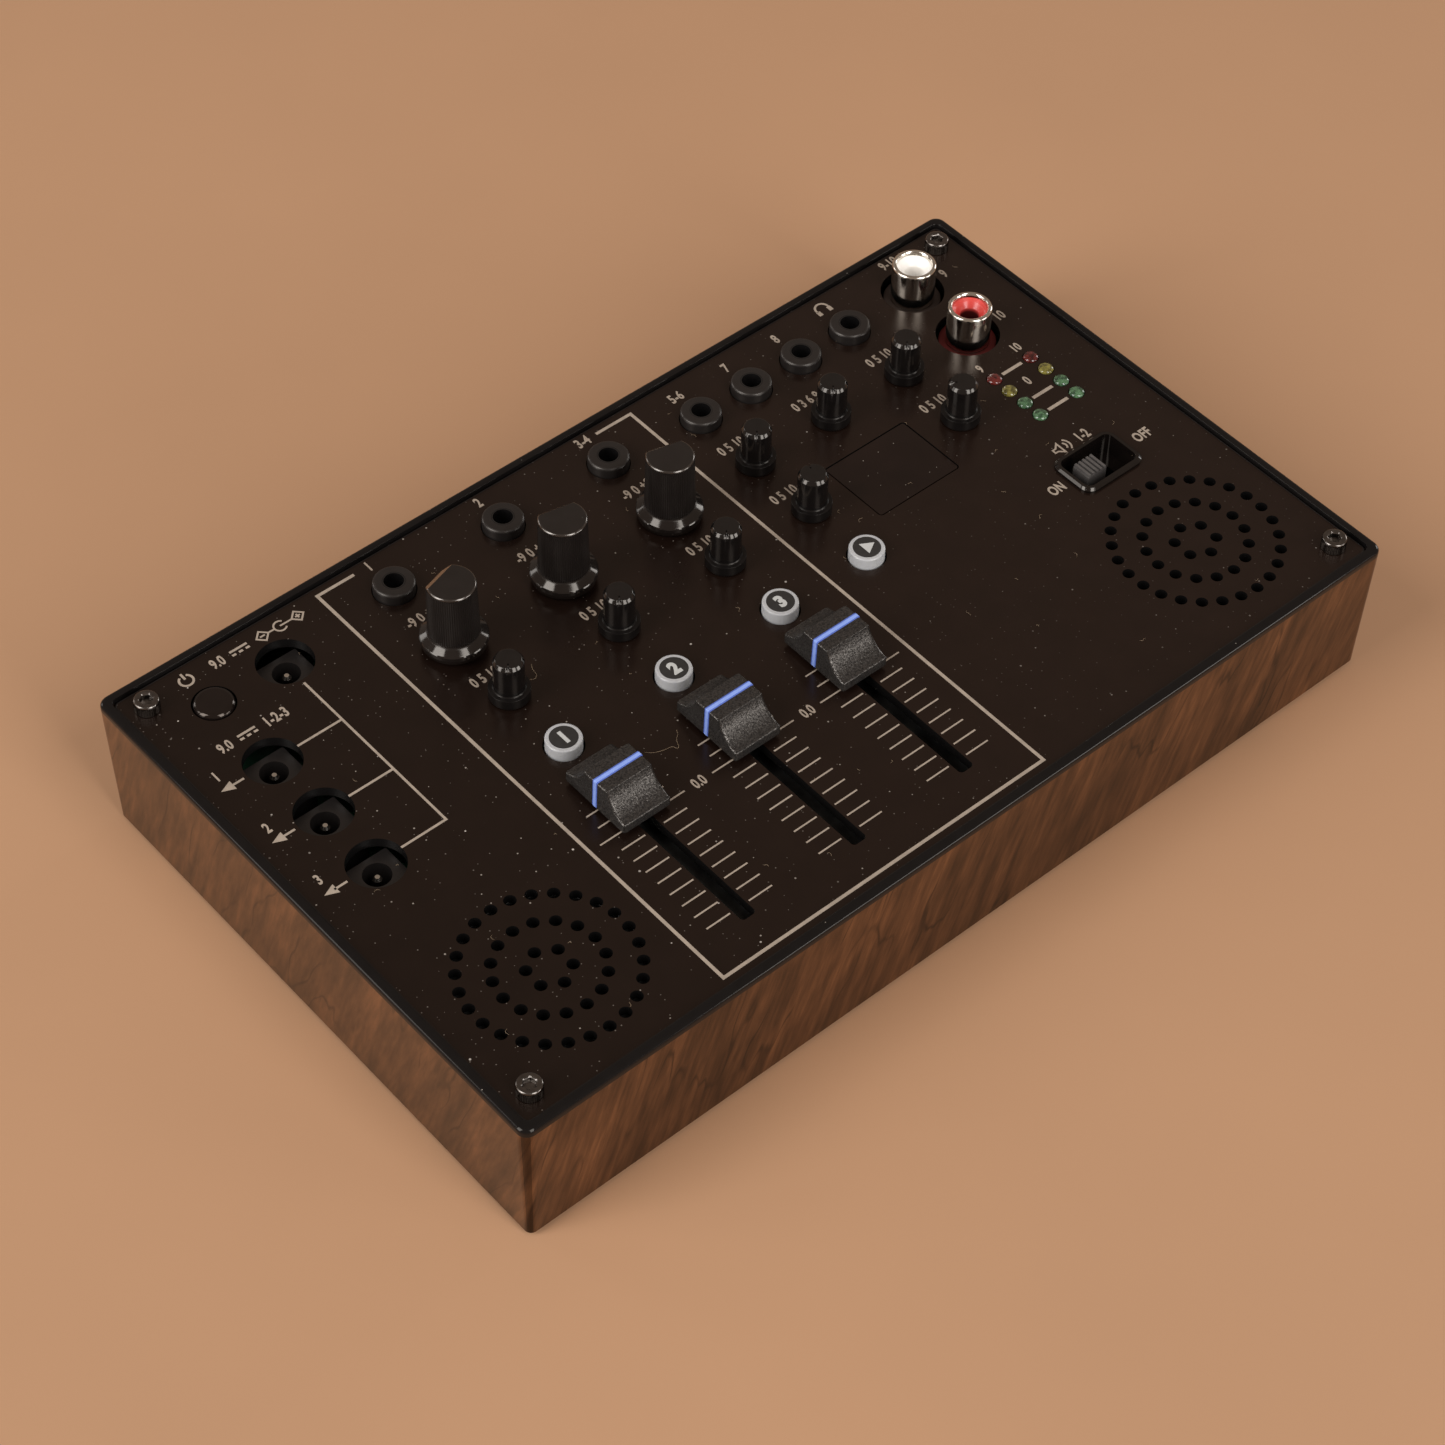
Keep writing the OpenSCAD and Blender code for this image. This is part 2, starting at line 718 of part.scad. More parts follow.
module display_module() {
    module_t = 3;
    header_d = 2.5;
    top = panel_bottom - window_flange_t;
    color("#20242c") at(display_place) {
        block(window_w + 2 * display_rim, window_d + 2 * display_rim, top - module_t, top);
        for (sy = [-1, 1]) translate([0, sy * (window_d / 2 - header_d / 2), 0])
            block(window_w, header_d, board_top, top - module_t + eps);
    }
}

/* Speakers */

speaker_flange_t = 1;
speaker_basket_h = 4.5;
speaker_h = 8;
speaker_wall = 0.8;
speaker_ledge = 1;
magnet_d = 18;
speaker_rim = 2;
cone_r = speaker_d / 2 - speaker_rim;
ledge_z = panel_bottom - speaker_flange_t;

// Pressed basket with a magnet pot, open towards the panel
module speaker() {
    basket_z = panel_bottom - speaker_basket_h;
    color("#8a8884") rotate_extrude() polygon([
        [0, panel_bottom - speaker_h], [magnet_d / 2, panel_bottom - speaker_h], [magnet_d / 2, basket_z],
        [cone_r, ledge_z - 2 * speaker_wall], [speaker_d / 2, ledge_z - speaker_wall],
        [speaker_d / 2, panel_bottom], [cone_r, panel_bottom], [cone_r, ledge_z], [cone_r - speaker_ledge, ledge_z],
        [magnet_d / 2, basket_z + speaker_wall], [0, basket_z + speaker_wall]
    ]);
}

module speaker_left() { at(speaker_places[0]) speaker(); }
module speaker_right() { at(speaker_places[1]) speaker(); }

// Paper cone with a domed cap and a rolled edge, glued to the basket's ledge
module speaker_cones() {
    t = 0.3;
    edge_r = cone_r - glue_gap;
    roll_r = cone_r - speaker_ledge - 0.6;
    roll_z = ledge_z + 0.4;
    dip_r = cone_r - 3.2;
    dip_z = ledge_z - 0.1;
    cap_r = 7;
    cap_z = ledge_z - 1.5;
    tip_z = ledge_z - 0.6;
    color("#26221f") for (p = speaker_places) at(p) rotate_extrude() polygon([
        [0, tip_z + t], [cap_r, cap_z + t], [dip_r, dip_z + t], [roll_r, roll_z],
        [edge_r, ledge_z + t], [edge_r, ledge_z], [edge_r - speaker_ledge, ledge_z],
        [roll_r, roll_z - t], [dip_r, dip_z], [cap_r, cap_z], [0, tip_z]
    ]);
}

/* Large knobs */

pot_h = 6.5;
pot_body = 10.5;
bushing_d = 7;
stem_reach = 3;
stem_bottom = board_top + pot_h - stem_reach;
big_base = panel_top + big_knob_gap;
knob_socket_depth = 9;
shaft_tip_gap = 0.5;

// Ribbed grip on a polished flange, cut by a sloping pointer face
module big_knob(i) {
    base = big_base + big_knob_lift[i];
    grip_z = big_flange_h + big_cone_h;
    tip_z = big_knob_h - big_bevel;
    undercut = 0.25;
    undercut_h = 0.9;
    color("#2e2a28") at(big_knob_places[i], base) rotate([0, 0, big_knob_turn[i]]) difference() {
        rotate_extrude() polygon([
            [0, 0], [big_flange_d / 2 - undercut, 0], [big_flange_d / 2, undercut_h],
            [big_flange_d / 2, big_flange_h], [big_grip_d / 2, grip_z],
            [big_top_d / 2, tip_z], [big_top_d / 2 - big_bevel, big_knob_h], [0, big_knob_h]
        ]);
        big_knob_ribs(grip_z, tip_z);
        translate([0, pointer_x, big_knob_h]) rotate([pointer_slope, 0, 0])
            translate([-big_flange_d, 0, -big_knob_h / 2]) cube([2 * big_flange_d, big_flange_d, big_knob_h]);
        translate([0, 0, -eps]) linear_extrude(knob_socket_depth + eps) shaft_outline();
    }
}

// Upright V grooves that follow the taper of the grip
module big_knob_ribs(z0, z1) {
    lean = atan((big_grip_d - big_top_d) / 2 / (z1 - z0));
    rib_half_w = 1.6 * big_rib_depth;
    plain_top = 0.2;
    for (k = [0:big_ribs - 1]) rotate([0, 0, 90 + 360 * k / big_ribs])
        translate([big_grip_d / 2, 0, z0]) rotate([0, -lean, 0])
            linear_extrude(z1 - z0 - plain_top)
                polygon([[-big_rib_depth, 0], [big_rib_depth, -rib_half_w], [big_rib_depth, rib_half_w]]);
}

// D shape of the shaft, and of the socket that it presses into
module shaft_outline() {
    difference() {
        circle(d = shaft_d);
        translate([-shaft_d, -shaft_d - shaft_flat]) square([2 * shaft_d, shaft_d]);
    }
}

module knob_shaft(i) {
    tip = big_base + big_knob_lift[i] + knob_socket_depth - shaft_tip_gap;
    color("#9b9994") at(big_knob_places[i]) difference() {
        column(shaft_d, stem_bottom, tip);
        rotate([0, 0, big_knob_turn[i]]) translate([-shaft_d, -shaft_d - shaft_flat, panel_bottom])
            cube([2 * shaft_d, shaft_d, big_knob_h]);
    }
}

module big_knob_1() { big_knob(0); }
module big_knob_2() { big_knob(1); }
module big_knob_3() { big_knob(2); }
module knob_shaft_1() { knob_shaft(0); }
module knob_shaft_2() { knob_shaft(1); }
module knob_shaft_3() { knob_shaft(2); }

module large_pots() {
    color("#6f6d69") for (p = big_knob_places) at(p) difference() {
        union() {
            block(pot_body, pot_body, board_top, board_top + pot_h);
            column(bushing_d, board_top + pot_h - eps, panel_bottom - slide_gap);
        }
        column(shaft_d + 2 * running_gap, stem_bottom - slide_gap, panel_top);
    }
}

/* Small knobs */

small_base = panel_top + small_knob_gap;

// Translucent knob moulded in one piece with the rotor of its pot
module small_knob(p, turn) {
    top = small_base + small_knob_h;
    body_z = small_base + small_flange_h;
    flange_r = small_flange_d / 2;
    flange_bevel = [0.1, 0.4];
    flange_round = 0.5;
    neck = 0.1;
    color("#33302f") at(p) difference() {
        rotate_extrude() polygon(concat(
            [
                [0, stem_bottom], [stem_d / 2, stem_bottom], [stem_d / 2, small_base],
                [flange_r - flange_bevel[0], small_base], [flange_r, small_base + flange_bevel[1]],
                [flange_r, body_z - flange_round], [small_body_d / 2 + neck, body_z],
                [small_body_d / 2, body_z]
            ],
            arc([small_top_d / 2 - small_round, top - small_round], small_round, 5, 90, 5),
            [[0, top]]
        ));
        rotate([0, 0, turn]) translate([-slot_w / 2, small_top_d / 2 - slot_depth, top - slot_len])
            cube([slot_w, small_flange_d, slot_len + eps]);
    }
}

module small_pots() {
    color("#5f5d5a") for (p = small_knob_places) at(p) difference() {
        block(small_pot_body, small_pot_body, board_top, board_top + pot_h);
        column(stem_d + 2 * running_gap, stem_bottom - slide_gap, panel_top);
    }
}

module send_knob_1() { small_knob(send_knob_places[0], small_knob_min_turn); }
module send_knob_2() { small_knob(send_knob_places[1], small_knob_min_turn); }
module send_knob_3() { small_knob(send_knob_places[2], small_knob_min_turn); }
module width_knob() { small_knob(width_xy, small_knob_min_turn); }
module dynamics_knob() { small_knob(dynamics_xy, small_knob_min_turn); }
module speed_knob() { small_knob(speed_xy, small_knob_min_turn); }
module tempo_knob() { small_knob(tempo_xy, tempo_turn); }
module volume_knob() { small_knob(volume_xy, volume_turn); }

/* Faders */

fader_wall = 1;
carriage_w = fader_body_w - 2 * fader_wall - 2 * slide_gap;
carriage_end = 2;
carriage_len = blade_w + 2 * carriage_end;
carriage_h = 3;
cap_base = panel_top + cap_gap;
cap_roof = 1.5;
cap_socket_depth = cap_h - cap_roof;
blade_tip_gap = 0.2;

// Sheet-metal channel with a slot for the lever
module fader_body(i) {
    travel_room = fader_travel + carriage_len + 2 * slide_gap;
    color("#77756f") at([channel_x[i], fader_mid_y]) difference() {
        block(fader_body_w, fader_body_len, board_top, board_top + fader_body_h);
        block(fader_body_w - 2 * fader_wall, travel_room,
            board_top + fader_wall, board_top + fader_body_h - fader_wall);
        block(blade_t + 2 * slide_gap, fader_travel + blade_w + 2 * slide_gap,
            board_top + fader_wall, board_top + fader_body_h + eps);
    }
}

// Carriage and blade that carry the cap
module fader_lever(i) {
    carriage_z = board_top + fader_wall + slide_gap;
    color("#a9a69e") at([channel_x[i], fader_top_y]) {
        block(carriage_w, carriage_len, carriage_z, carriage_z + carriage_h);
        block(blade_t, blade_w, carriage_z, cap_base + cap_socket_depth - blade_tip_gap);
    }
}

// Cap seen from its side: upright lips, hollow slopes and a flat top
function cap_profile() =
    let (
        half = cap_len / 2,
        flat = cap_flat / 2,
        rise = cap_h - cap_lip,
        run = half - flat,
        chord = norm([run, rise]),
        hollow_r = (chord * chord / 4 + cap_hollow * cap_hollow) / 2 / cap_hollow,
        mid = [(half + flat) / 2, cap_lip + rise / 2],
        out = [rise, run] / chord,
        c = mid + out * (hollow_r - cap_hollow),
        a0 = atan2(cap_lip - c[1], half - c[0]),
        a1 = atan2(cap_h - c[1], flat - c[0]),
        a1b = a1 < a0 ? a1 : a1 - 360
    )
    arc(c, hollow_r, a0, a1b, 14);

module fader_cap(i) {
    right = cap_profile();
    n = len(right);
    outline = concat(
        [[-cap_len / 2, 0], [cap_len / 2, 0]],
        right,
        [for (k = [n - 1:-1:0]) [-right[k][0], right[k][1]]]
    );
    lean = atan(cap_lean / cap_h);
    color("#3f3c3a") at([channel_x[i], fader_top_y], cap_base) difference() {
        rotate([90, 0, 90]) translate([0, 0, -cap_w / 2]) linear_extrude(cap_w) polygon(outline);
        for (s = [0, 180]) rotate([0, 0, s]) translate([cap_w / 2, 0, 0]) rotate([0, -lean, 0])
            translate([0, -cap_len, -cap_h]) cube([cap_w, 2 * cap_len, 3 * cap_h]);
        block(blade_t, blade_w, -eps, cap_socket_depth);
    }
}

module fader_body_1() { fader_body(0); }
module fader_body_2() { fader_body(1); }
module fader_body_3() { fader_body(2); }
module fader_cap_1() { fader_cap(0); }
module fader_cap_2() { fader_cap(1); }
module fader_cap_3() { fader_cap(2); }
module fader_lever_1() { fader_lever(0); }
module fader_lever_2() { fader_lever(1); }
module fader_lever_3() { fader_lever(2); }

/* Push buttons */

switch_h = 5;
switch_side = 7;
plunger_d = 3.4;
plunger_reach = 2;
plunger_bottom = board_top + switch_h - plunger_reach;
skirt_rise = 0.2;
switch_places = concat(button_places, [power_xy]);

module push_switches() {
    color("#3a3a3c") for (p = switch_places) at(p) difference() {
        block(switch_side, switch_side, board_top, board_top + switch_h);
        column(plunger_d + 2 * running_gap, plunger_bottom - button_travel - slide_gap, panel_top);
    }
}

// Round button with a skirt in the panel hole and a plunger below
module push_button(p, base_d, top_d, height, edge) {
    top = panel_top + height;
    skirt = panel_bottom + skirt_rise;
    color("#d8d3ca") at(p) rotate_extrude() polygon(concat(
        [[0, plunger_bottom], [plunger_d / 2, plunger_bottom], [plunger_d / 2, skirt],
         [base_d / 2, skirt], [base_d / 2, panel_top]],
        arc([top_d / 2 - edge, top - edge], edge, 0, 90, 5),
        [[0, top]]
    ));
}

module lit_button(i) { push_button(button_places[i], button_d, button_top_d, button_h, button_round); }
module mute_button_1() { lit_button(0); }
module mute_button_2() { lit_button(1); }
module mute_button_3() { lit_button(2); }
module play_button() { lit_button(3); }
module power_button() { color("#191716") push_button(power_xy, power_d, power_d, power_h, power_round); }

/* Slide switch */

neck_w = frame_w - 2 * frame_lip;
well_drop = 1.5;
well_floor = panel_bottom - well_drop;
slider_rise = 0;
slider_top = panel_top + frame_h + slider_rise;
slider_tab_w = 2.4;
slider_tab_d = 2;
slider_tab_h = 3;
tab_well_depth = 4;
frame_round = 2.2;
well_round = 1.4;
slider_rest_x = switch_place[0] - switch_travel / 2;

// Frame on the panel, deep well and the switch body down to the board
module slide_switch_housing() {
    bevel = 0.4;
    color("#1c1a19") at(switch_place) difference() {
        union() {
            hull() {
                plate(frame_w, frame_d, panel_top, panel_top + frame_h - bevel, frame_round);
                plate(frame_w - 2 * bevel, frame_d - 2 * bevel, panel_top, panel_top + frame_h,
                    frame_round - bevel / 2);
            }
            plate(neck_w, neck_d, board_top, panel_top + eps, frame_round - frame_lip);
        }
        plate(well_w, well_d, well_floor, panel_top + frame_h + eps, well_round);
        block(slider_tab_w + switch_travel + 2 * slide_gap, slider_tab_d + 2 * slide_gap,
            well_floor - tab_well_depth, well_floor + eps);
    }
}

// Ribbed thumb piece with a tab that drives the contacts
module speaker_slider() {
    ribs = 5;
    rib_pitch = slider_w / ribs;
    rib_w = rib_pitch / 2;
    rib_h = 0.5;
    floor_z = well_floor + slide_gap;
    color("#4a4643") translate([slider_rest_x, switch_place[1], 0]) {
        block(slider_w, slider_d, floor_z, slider_top - rib_h);
        block(slider_tab_w, slider_tab_d, well_floor - slider_tab_h, floor_z + eps);
        for (k = [0:ribs - 1]) translate([(k - (ribs - 1) / 2) * rib_pitch, 0, 0])
            block(rib_w, slider_d, slider_top - rib_h - eps, slider_top);
    }
}

case_tub();
top_rim();
top_panel();
panel_screws();
rubber_feet();
main_board();
board_spacers();
board_screws();
channel_jacks();
line_jacks();
phono_shell_left();
phono_shell_right();
phono_insert_left();
phono_insert_right();
dc_jacks();
dc_centre_pins();
red_lamps();
yellow_lamps();
green_lamps();
display_window();
display_module();
speaker_left();
speaker_right();
speaker_cones();
fader_body_1();
fader_body_2();
fader_body_3();
large_pots();
small_pots();
push_switches();
slide_switch_housing();
big_knob_1();
big_knob_2();
big_knob_3();
knob_shaft_1();
knob_shaft_2();
knob_shaft_3();
send_knob_1();
send_knob_2();
send_knob_3();
width_knob();
dynamics_knob();
speed_knob();
tempo_knob();
volume_knob();
fader_cap_1();
fader_cap_2();
fader_cap_3();
fader_lever_1();
fader_lever_2();
fader_lever_3();
mute_button_1();
mute_button_2();
mute_button_3();
play_button();
power_button();
speaker_slider();
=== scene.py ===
# %% [markdown]
# A compact audio mixer, seen from its front left corner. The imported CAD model
# brings every solid in its place: case, panel, knobs, faders, jacks. This file
# gives each of them a finish, and adds the thin things that are easier to work
# out as surfaces than as solids: the print on the panel, the blue lines on the
# fader caps, the knurled screws and the dust of use.

# %% Load the frame
from math import cos, pi, radians, sin

import bmesh
import bpy
import numpy as np
from mathutils import Matrix, Vector


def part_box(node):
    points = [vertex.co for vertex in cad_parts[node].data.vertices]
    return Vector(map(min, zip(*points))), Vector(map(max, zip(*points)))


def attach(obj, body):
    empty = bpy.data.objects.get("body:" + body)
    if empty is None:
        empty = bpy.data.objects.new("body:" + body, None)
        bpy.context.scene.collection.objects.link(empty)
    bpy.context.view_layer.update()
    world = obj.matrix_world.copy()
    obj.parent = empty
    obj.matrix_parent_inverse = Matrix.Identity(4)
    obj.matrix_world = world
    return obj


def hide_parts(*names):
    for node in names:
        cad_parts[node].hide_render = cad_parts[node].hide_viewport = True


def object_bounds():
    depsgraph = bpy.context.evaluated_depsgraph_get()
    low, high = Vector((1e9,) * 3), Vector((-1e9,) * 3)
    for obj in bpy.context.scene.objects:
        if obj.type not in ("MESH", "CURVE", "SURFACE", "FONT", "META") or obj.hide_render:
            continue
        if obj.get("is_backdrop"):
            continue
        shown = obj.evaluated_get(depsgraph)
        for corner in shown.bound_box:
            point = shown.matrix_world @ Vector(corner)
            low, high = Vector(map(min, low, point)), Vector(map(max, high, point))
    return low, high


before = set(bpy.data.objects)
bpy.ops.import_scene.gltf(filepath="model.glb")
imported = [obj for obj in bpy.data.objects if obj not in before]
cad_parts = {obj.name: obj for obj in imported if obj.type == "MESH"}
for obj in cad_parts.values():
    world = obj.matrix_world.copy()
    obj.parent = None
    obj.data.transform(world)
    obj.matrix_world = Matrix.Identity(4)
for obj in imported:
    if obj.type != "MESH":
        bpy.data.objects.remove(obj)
cad_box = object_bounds()
MM = 0.001
PANEL_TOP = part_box("top_panel")[1].z
print("nodes", len(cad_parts), "panel face at", round(PANEL_TOP / MM, 2), "mm")

# %% [markdown]
# The camera comes first, so that everything after it can be judged in one view.
# It is a long lens, which keeps the case's edges nearly parallel. The place is
# given as a person would say it: so far round, so far up, so far away, and
# leaning a little. Three unit vectors make the matrix: right, up and back.

# %% Camera
AROUND, UP, LEAN = radians(-41.837), radians(48.994), radians(1.407)
DISTANCE = 0.61074
target = Vector((-0.013837, -0.007876, 0.021))
back = Vector((sin(AROUND) * cos(UP), -cos(AROUND) * cos(UP), sin(UP)))
level = Vector((0, 0, 1)).cross(back).normalized()
rise = back.cross(level)
right = level * cos(LEAN) + rise * sin(LEAN)
top = rise * cos(LEAN) - level * sin(LEAN)
camera = bpy.data.objects.new("camera", bpy.data.cameras.new("camera"))
camera.data.sensor_width = 36
camera.data.lens = 89.19
camera.data.clip_start = 0.01
turn = Matrix((right, top, back)).transposed().to_4x4()
camera.matrix_world = Matrix.Translation(target + back * DISTANCE) @ turn
bpy.context.scene.collection.objects.link(camera)
bpy.context.scene.camera = camera
print("camera at", [round(v, 3) for v in camera.location])

# %% [markdown]
# A finish is more than a colour. Each one here starts from the same small
# recipe: a noise that makes the colour a little uneven, a second one that makes
# the gloss a little uneven, and a third that lifts and lowers the surface. All
# three read Object coordinates, so the pattern is fixed to the piece and travels
# with it when a knob turns. Scales are written as the size of one blotch.

# %% Finish kit
def feed(socket, value):
    """Links a socket to another node's output, or sets it to a plain value."""
    if isinstance(value, bpy.types.NodeSocket):
        socket.id_data.links.new(value, socket)
    else:
        socket.default_value = value


def node_of(tree, kind, sockets=None, **settings):
    """A shader node with its settings and, by socket name or number, its inputs."""
    node = tree.nodes.new(kind)
    for key, value in settings.items():
        setattr(node, key, value)
    for key, value in (sockets or {}).items():
        feed(node.inputs[key], value)
    return node


def inputs_of(made):
    return made.node_tree.nodes["Principled BSDF"].inputs


def coordinate(made, kind, axis=None):
    """The Object or Normal coordinate, or one of its three parts."""
    place = node_of(made.node_tree, "ShaderNodeTexCoord").outputs[kind]
    return node_of(place.id_data, "ShaderNodeSeparateXYZ", {"Vector": place}).outputs[axis] if axis else place


def maths(operation, *values):
    """A Math node over fields and numbers; the first of them is a field."""
    return node_of(values[0].id_data, "ShaderNodeMath", dict(enumerate(values)), operation=operation).outputs[0]


def noise(made, blotch, detail=4.0, stretch=(1, 1, 1), turn=(0, 0, 0), rough=0.55):
    """Noise whose blotches are about `blotch` metres across; the space is turned, then stretched."""
    space = coordinate(made, "Object")
    for key, value in (("Rotation", turn), ("Scale", stretch)):
        space = node_of(made.node_tree, "ShaderNodeMapping", {"Vector": space, key: value}).outputs["Vector"]
    sockets = {"Vector": space, "Scale": 1 / blotch, "Detail": detail, "Roughness": rough}
    return node_of(made.node_tree, "ShaderNodeTexNoise", sockets).outputs["Fac"]


def spread(field, low, high, start=0.3, end=0.7):
    """Carries start..end of a field to low..high."""
    sockets = {"Value": field, "From Min": start, "From Max": end, "To Min": low, "To Max": high}
    return node_of(field.id_data, "ShaderNodeMapRange", sockets).outputs["Result"]


def blend(mask, first, second, **settings):
    """Goes from first to second, two colours or two values, as the mask goes from 0 to 1. A Mix node has
    its colours at inputs 6 and 7 and output 2, its values at inputs 2 and 3 and output 0."""
    tree = [v for v in (mask, first, second) if isinstance(v, bpy.types.NodeSocket)][0].id_data
    coloured = any(isinstance(v, tuple) or getattr(v, "type", "") == "RGBA" for v in (first, second))
    first, second = ((*v, 1.0) if isinstance(v, tuple) else v for v in (first, second))
    kind, at, out = ("RGBA", 6, 2) if coloured else ("FLOAT", 2, 0)
    sockets = {"Factor": mask, at: first, at + 1: second}
    return node_of(tree, "ShaderNodeMix", sockets, data_type=kind, **settings).outputs[out]


def over(made, mask, swap=False, **values):
    """Each named input of the shader keeps what it has where the mask is 0, and has the new value where
    it is 1; swap turns that round."""
    for key, value in values.items():
        socket = inputs_of(made)[key.replace("_", " ")]
        own = socket.links[0].from_socket if socket.is_linked else socket.default_value
        own = own if isinstance(own, (float, bpy.types.NodeSocket)) else tuple(own)[:3]
        feed(socket, blend(mask, *((value, own) if swap else (own, value))))
    return made


def under(made, mask, **values):
    """The new values where the mask is 0."""
    return over(made, mask, True, **values)


def above(made, low, high):
    """A mask that is 0 up to height low and 1 from height high."""
    return spread(coordinate(made, "Object", "Z"), 0, 1, low, high)


def finish(name, colour, gloss, uneven=0.12, blotch=0.004, bump=0.0, bump_size=0.0004, **plain):
    """The shared recipe. gloss is a pair of roughness values that the surface wanders between."""
    made = bpy.data.materials.new(name)
    made.use_nodes = True
    for key, value in plain.items():
        feed(inputs_of(made)[key.replace("_", " ")], value)
    dark = tuple(c * (1 - uneven) for c in colour)
    light = tuple(min(1.0, c * (1 + uneven)) for c in colour)
    feed(inputs_of(made)["Base Color"], blend(spread(noise(made, blotch), 0, 1), dark, light))
    feed(inputs_of(made)["Roughness"], spread(noise(made, blotch * 1.7, 5), *gloss))
    if bump:
        sockets = {"Strength": 1.0, "Distance": bump, "Height": noise(made, bump_size, 3)}
        feed(inputs_of(made)["Normal"], node_of(made.node_tree, "ShaderNodeBump", sockets).outputs["Normal"])
    return made


def dusted(made, share, cell, speck, colour=(0.34, 0.30, 0.25), amount=0.8, fade=1.0):
    """Specks of dust: in a share of the cells of a flat Voronoi field, a dot round the cell's middle,
    from half size to full, only where the surface faces up, fading to `fade` towards the right."""
    sockets = {"Vector": coordinate(made, "Object"), "Scale": 1 / cell}
    cells = node_of(made.node_tree, "ShaderNodeTexVoronoi", sockets, voronoi_dimensions="2D").outputs
    chance = node_of(made.node_tree, "ShaderNodeSeparateColor", {"Color": cells["Color"]}).outputs
    chosen = spread(chance["Red"], 0, 1, 1 - share, 1 - share * 0.6)
    ratio = maths("DIVIDE", cells["Distance"], spread(chance["Green"], 0.5, 1.0, 0, 1))
    dot = spread(ratio, 1, 0, speck / cell * 0.35, speck / cell * 0.6)
    most = spread(coordinate(made, "Object", "X"), amount, amount * fade, -0.03, 0.04)
    facing_up = spread(coordinate(made, "Normal", "Z"), 0, most, 0.4, 0.9)
    mask = maths("MULTIPLY", maths("MULTIPLY", chosen, dot), facing_up)
    return over(made, mask, Base_Color=colour, Roughness=0.9)


def black_walls(made, gloss):
    """Where the surface stands upright, as inside a hole, it is smoother than on top and black."""
    flat = spread(coordinate(made, "Normal", "Z"), 0, 1, 0.2, 0.8)
    return under(made, flat, Roughness=gloss, Base_Color=(0.0046, 0.0042, 0.0041), Specular_IOR_Level=0.28,
                 Specular_Tint=(0.85, 0.85, 0.85))


# %% [markdown]
# The floor is plain and pale, a warm tan like a sanded table top. The case's
# sides are a dark mirror, so most of what they show is this floor.

# %% Floor and room
def floor_mesh(half, steps):
    """z = 0 over a square grid of x and y."""
    line = np.linspace(-half, half, steps)
    x, y = np.meshgrid(line, line, indexing="xy")
    return np.stack([x, y, np.zeros_like(x)], -1)


def grid_faces(rows, cols, wrap_rows=False, wrap_cols=False):
    """Quads between neighbouring points of a grid. A wrapped direction joins its last line to its first."""
    i, j = np.meshgrid(np.arange(rows if wrap_rows else rows - 1),
                       np.arange(cols if wrap_cols else cols - 1), indexing="ij")
    i2, j2 = (i + 1) % rows, (j + 1) % cols
    return np.stack([i * cols + j, i * cols + j2, i2 * cols + j2, i2 * cols + j], -1).reshape(-1, 4).tolist()


FLOOR_HALF, FLOOR_LINES = 3.0, 5
floor = bpy.data.objects.new("floor", bpy.data.meshes.new("floor"))
floor.data.from_pydata(floor_mesh(FLOOR_HALF, FLOOR_LINES).reshape(-1, 3).tolist(), [],
                       grid_faces(FLOOR_LINES, FLOOR_LINES))
floor.data.materials.append(finish("floor_paint", (0.43, 0.240, 0.131), (0.62, 0.70), 0.03, 0.12))
bpy.context.scene.collection.objects.link(floor)
floor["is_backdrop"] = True

world = bpy.data.worlds.new("room")
world.use_nodes = True
world.node_tree.nodes["Background"].inputs["Color"].default_value = (1.0, 0.80, 0.66, 1)
world.node_tree.nodes["Background"].inputs["Strength"].default_value = 0.28
bpy.context.scene.world = world
bpy.context.scene.view_settings.view_transform = "Standard"
print("floor", len(floor.data.polygons), "faces")

# %% [markdown]
# Two tall soft lamps stand at the front left and the front right. Every polished
# edge shows both of them, which is why the knobs' flanges carry pairs of bright
# patches. Three weaker ones, behind and to either side, keep the far sides from
# going black, and a low one at the front grazes the slopes of the fader caps.

# %% Lamps
LAMPS = {
    "key_left": ((-0.98, 0.17, 0.66), 2.00, (0.80, 1.80), 33.0),
    "key_right": ((-0.03, -1.0, 0.70), 2.00, (0.75, 1.80), 30.0),
    "rim_back": ((-0.36, 0.90, 0.26), 1.80, (0.45, 0.50), 2.6),
    "rim_left": ((-0.78, 0.49, 0.40), 1.90, (0.35, 0.90), 3.2),
    "rim_right": ((0.99, 0.02, 0.26), 1.80, (0.45, 0.60), 4.2),
    "low_front": ((0.50, -0.87, 0.20), 2.00, (0.70, 0.45), 7.0),
}
for name, (way, far, size, power) in LAMPS.items():
    light = bpy.data.lights.new(name, "AREA")
    light.shape, light.energy = "RECTANGLE", power
    light.size, light.size_y = size
    lamp = bpy.data.objects.new(name, light)
    way = Vector(way).normalized()
    lamp.matrix_world = Matrix.Translation(way * far) @ way.to_track_quat("Z", "Y").to_matrix().to_4x4()
    bpy.context.scene.collection.objects.link(lamp)
print("lamps", list(LAMPS))

# %% [markdown]
# The panel is satin lacquer over metal, nearly black with a brown cast. It is
# smooth enough to mirror the phono jacks softly. Fine dust shows on it more than
# on anything else, so it gets three sizes of specks.

# %% Panel, rim and case finishes
WARM = (1.0, 0.92, 0.84, 1.0)
BROWN = (1.0, 0.84, 0.72, 1.0)


def shaded(made, factor):
    """The base colour times a factor."""
    socket = inputs_of(made)["Base Color"]
    feed(socket, blend(1.0, socket.links[0].from_socket, factor, blend_type="MULTIPLY"))
    return made


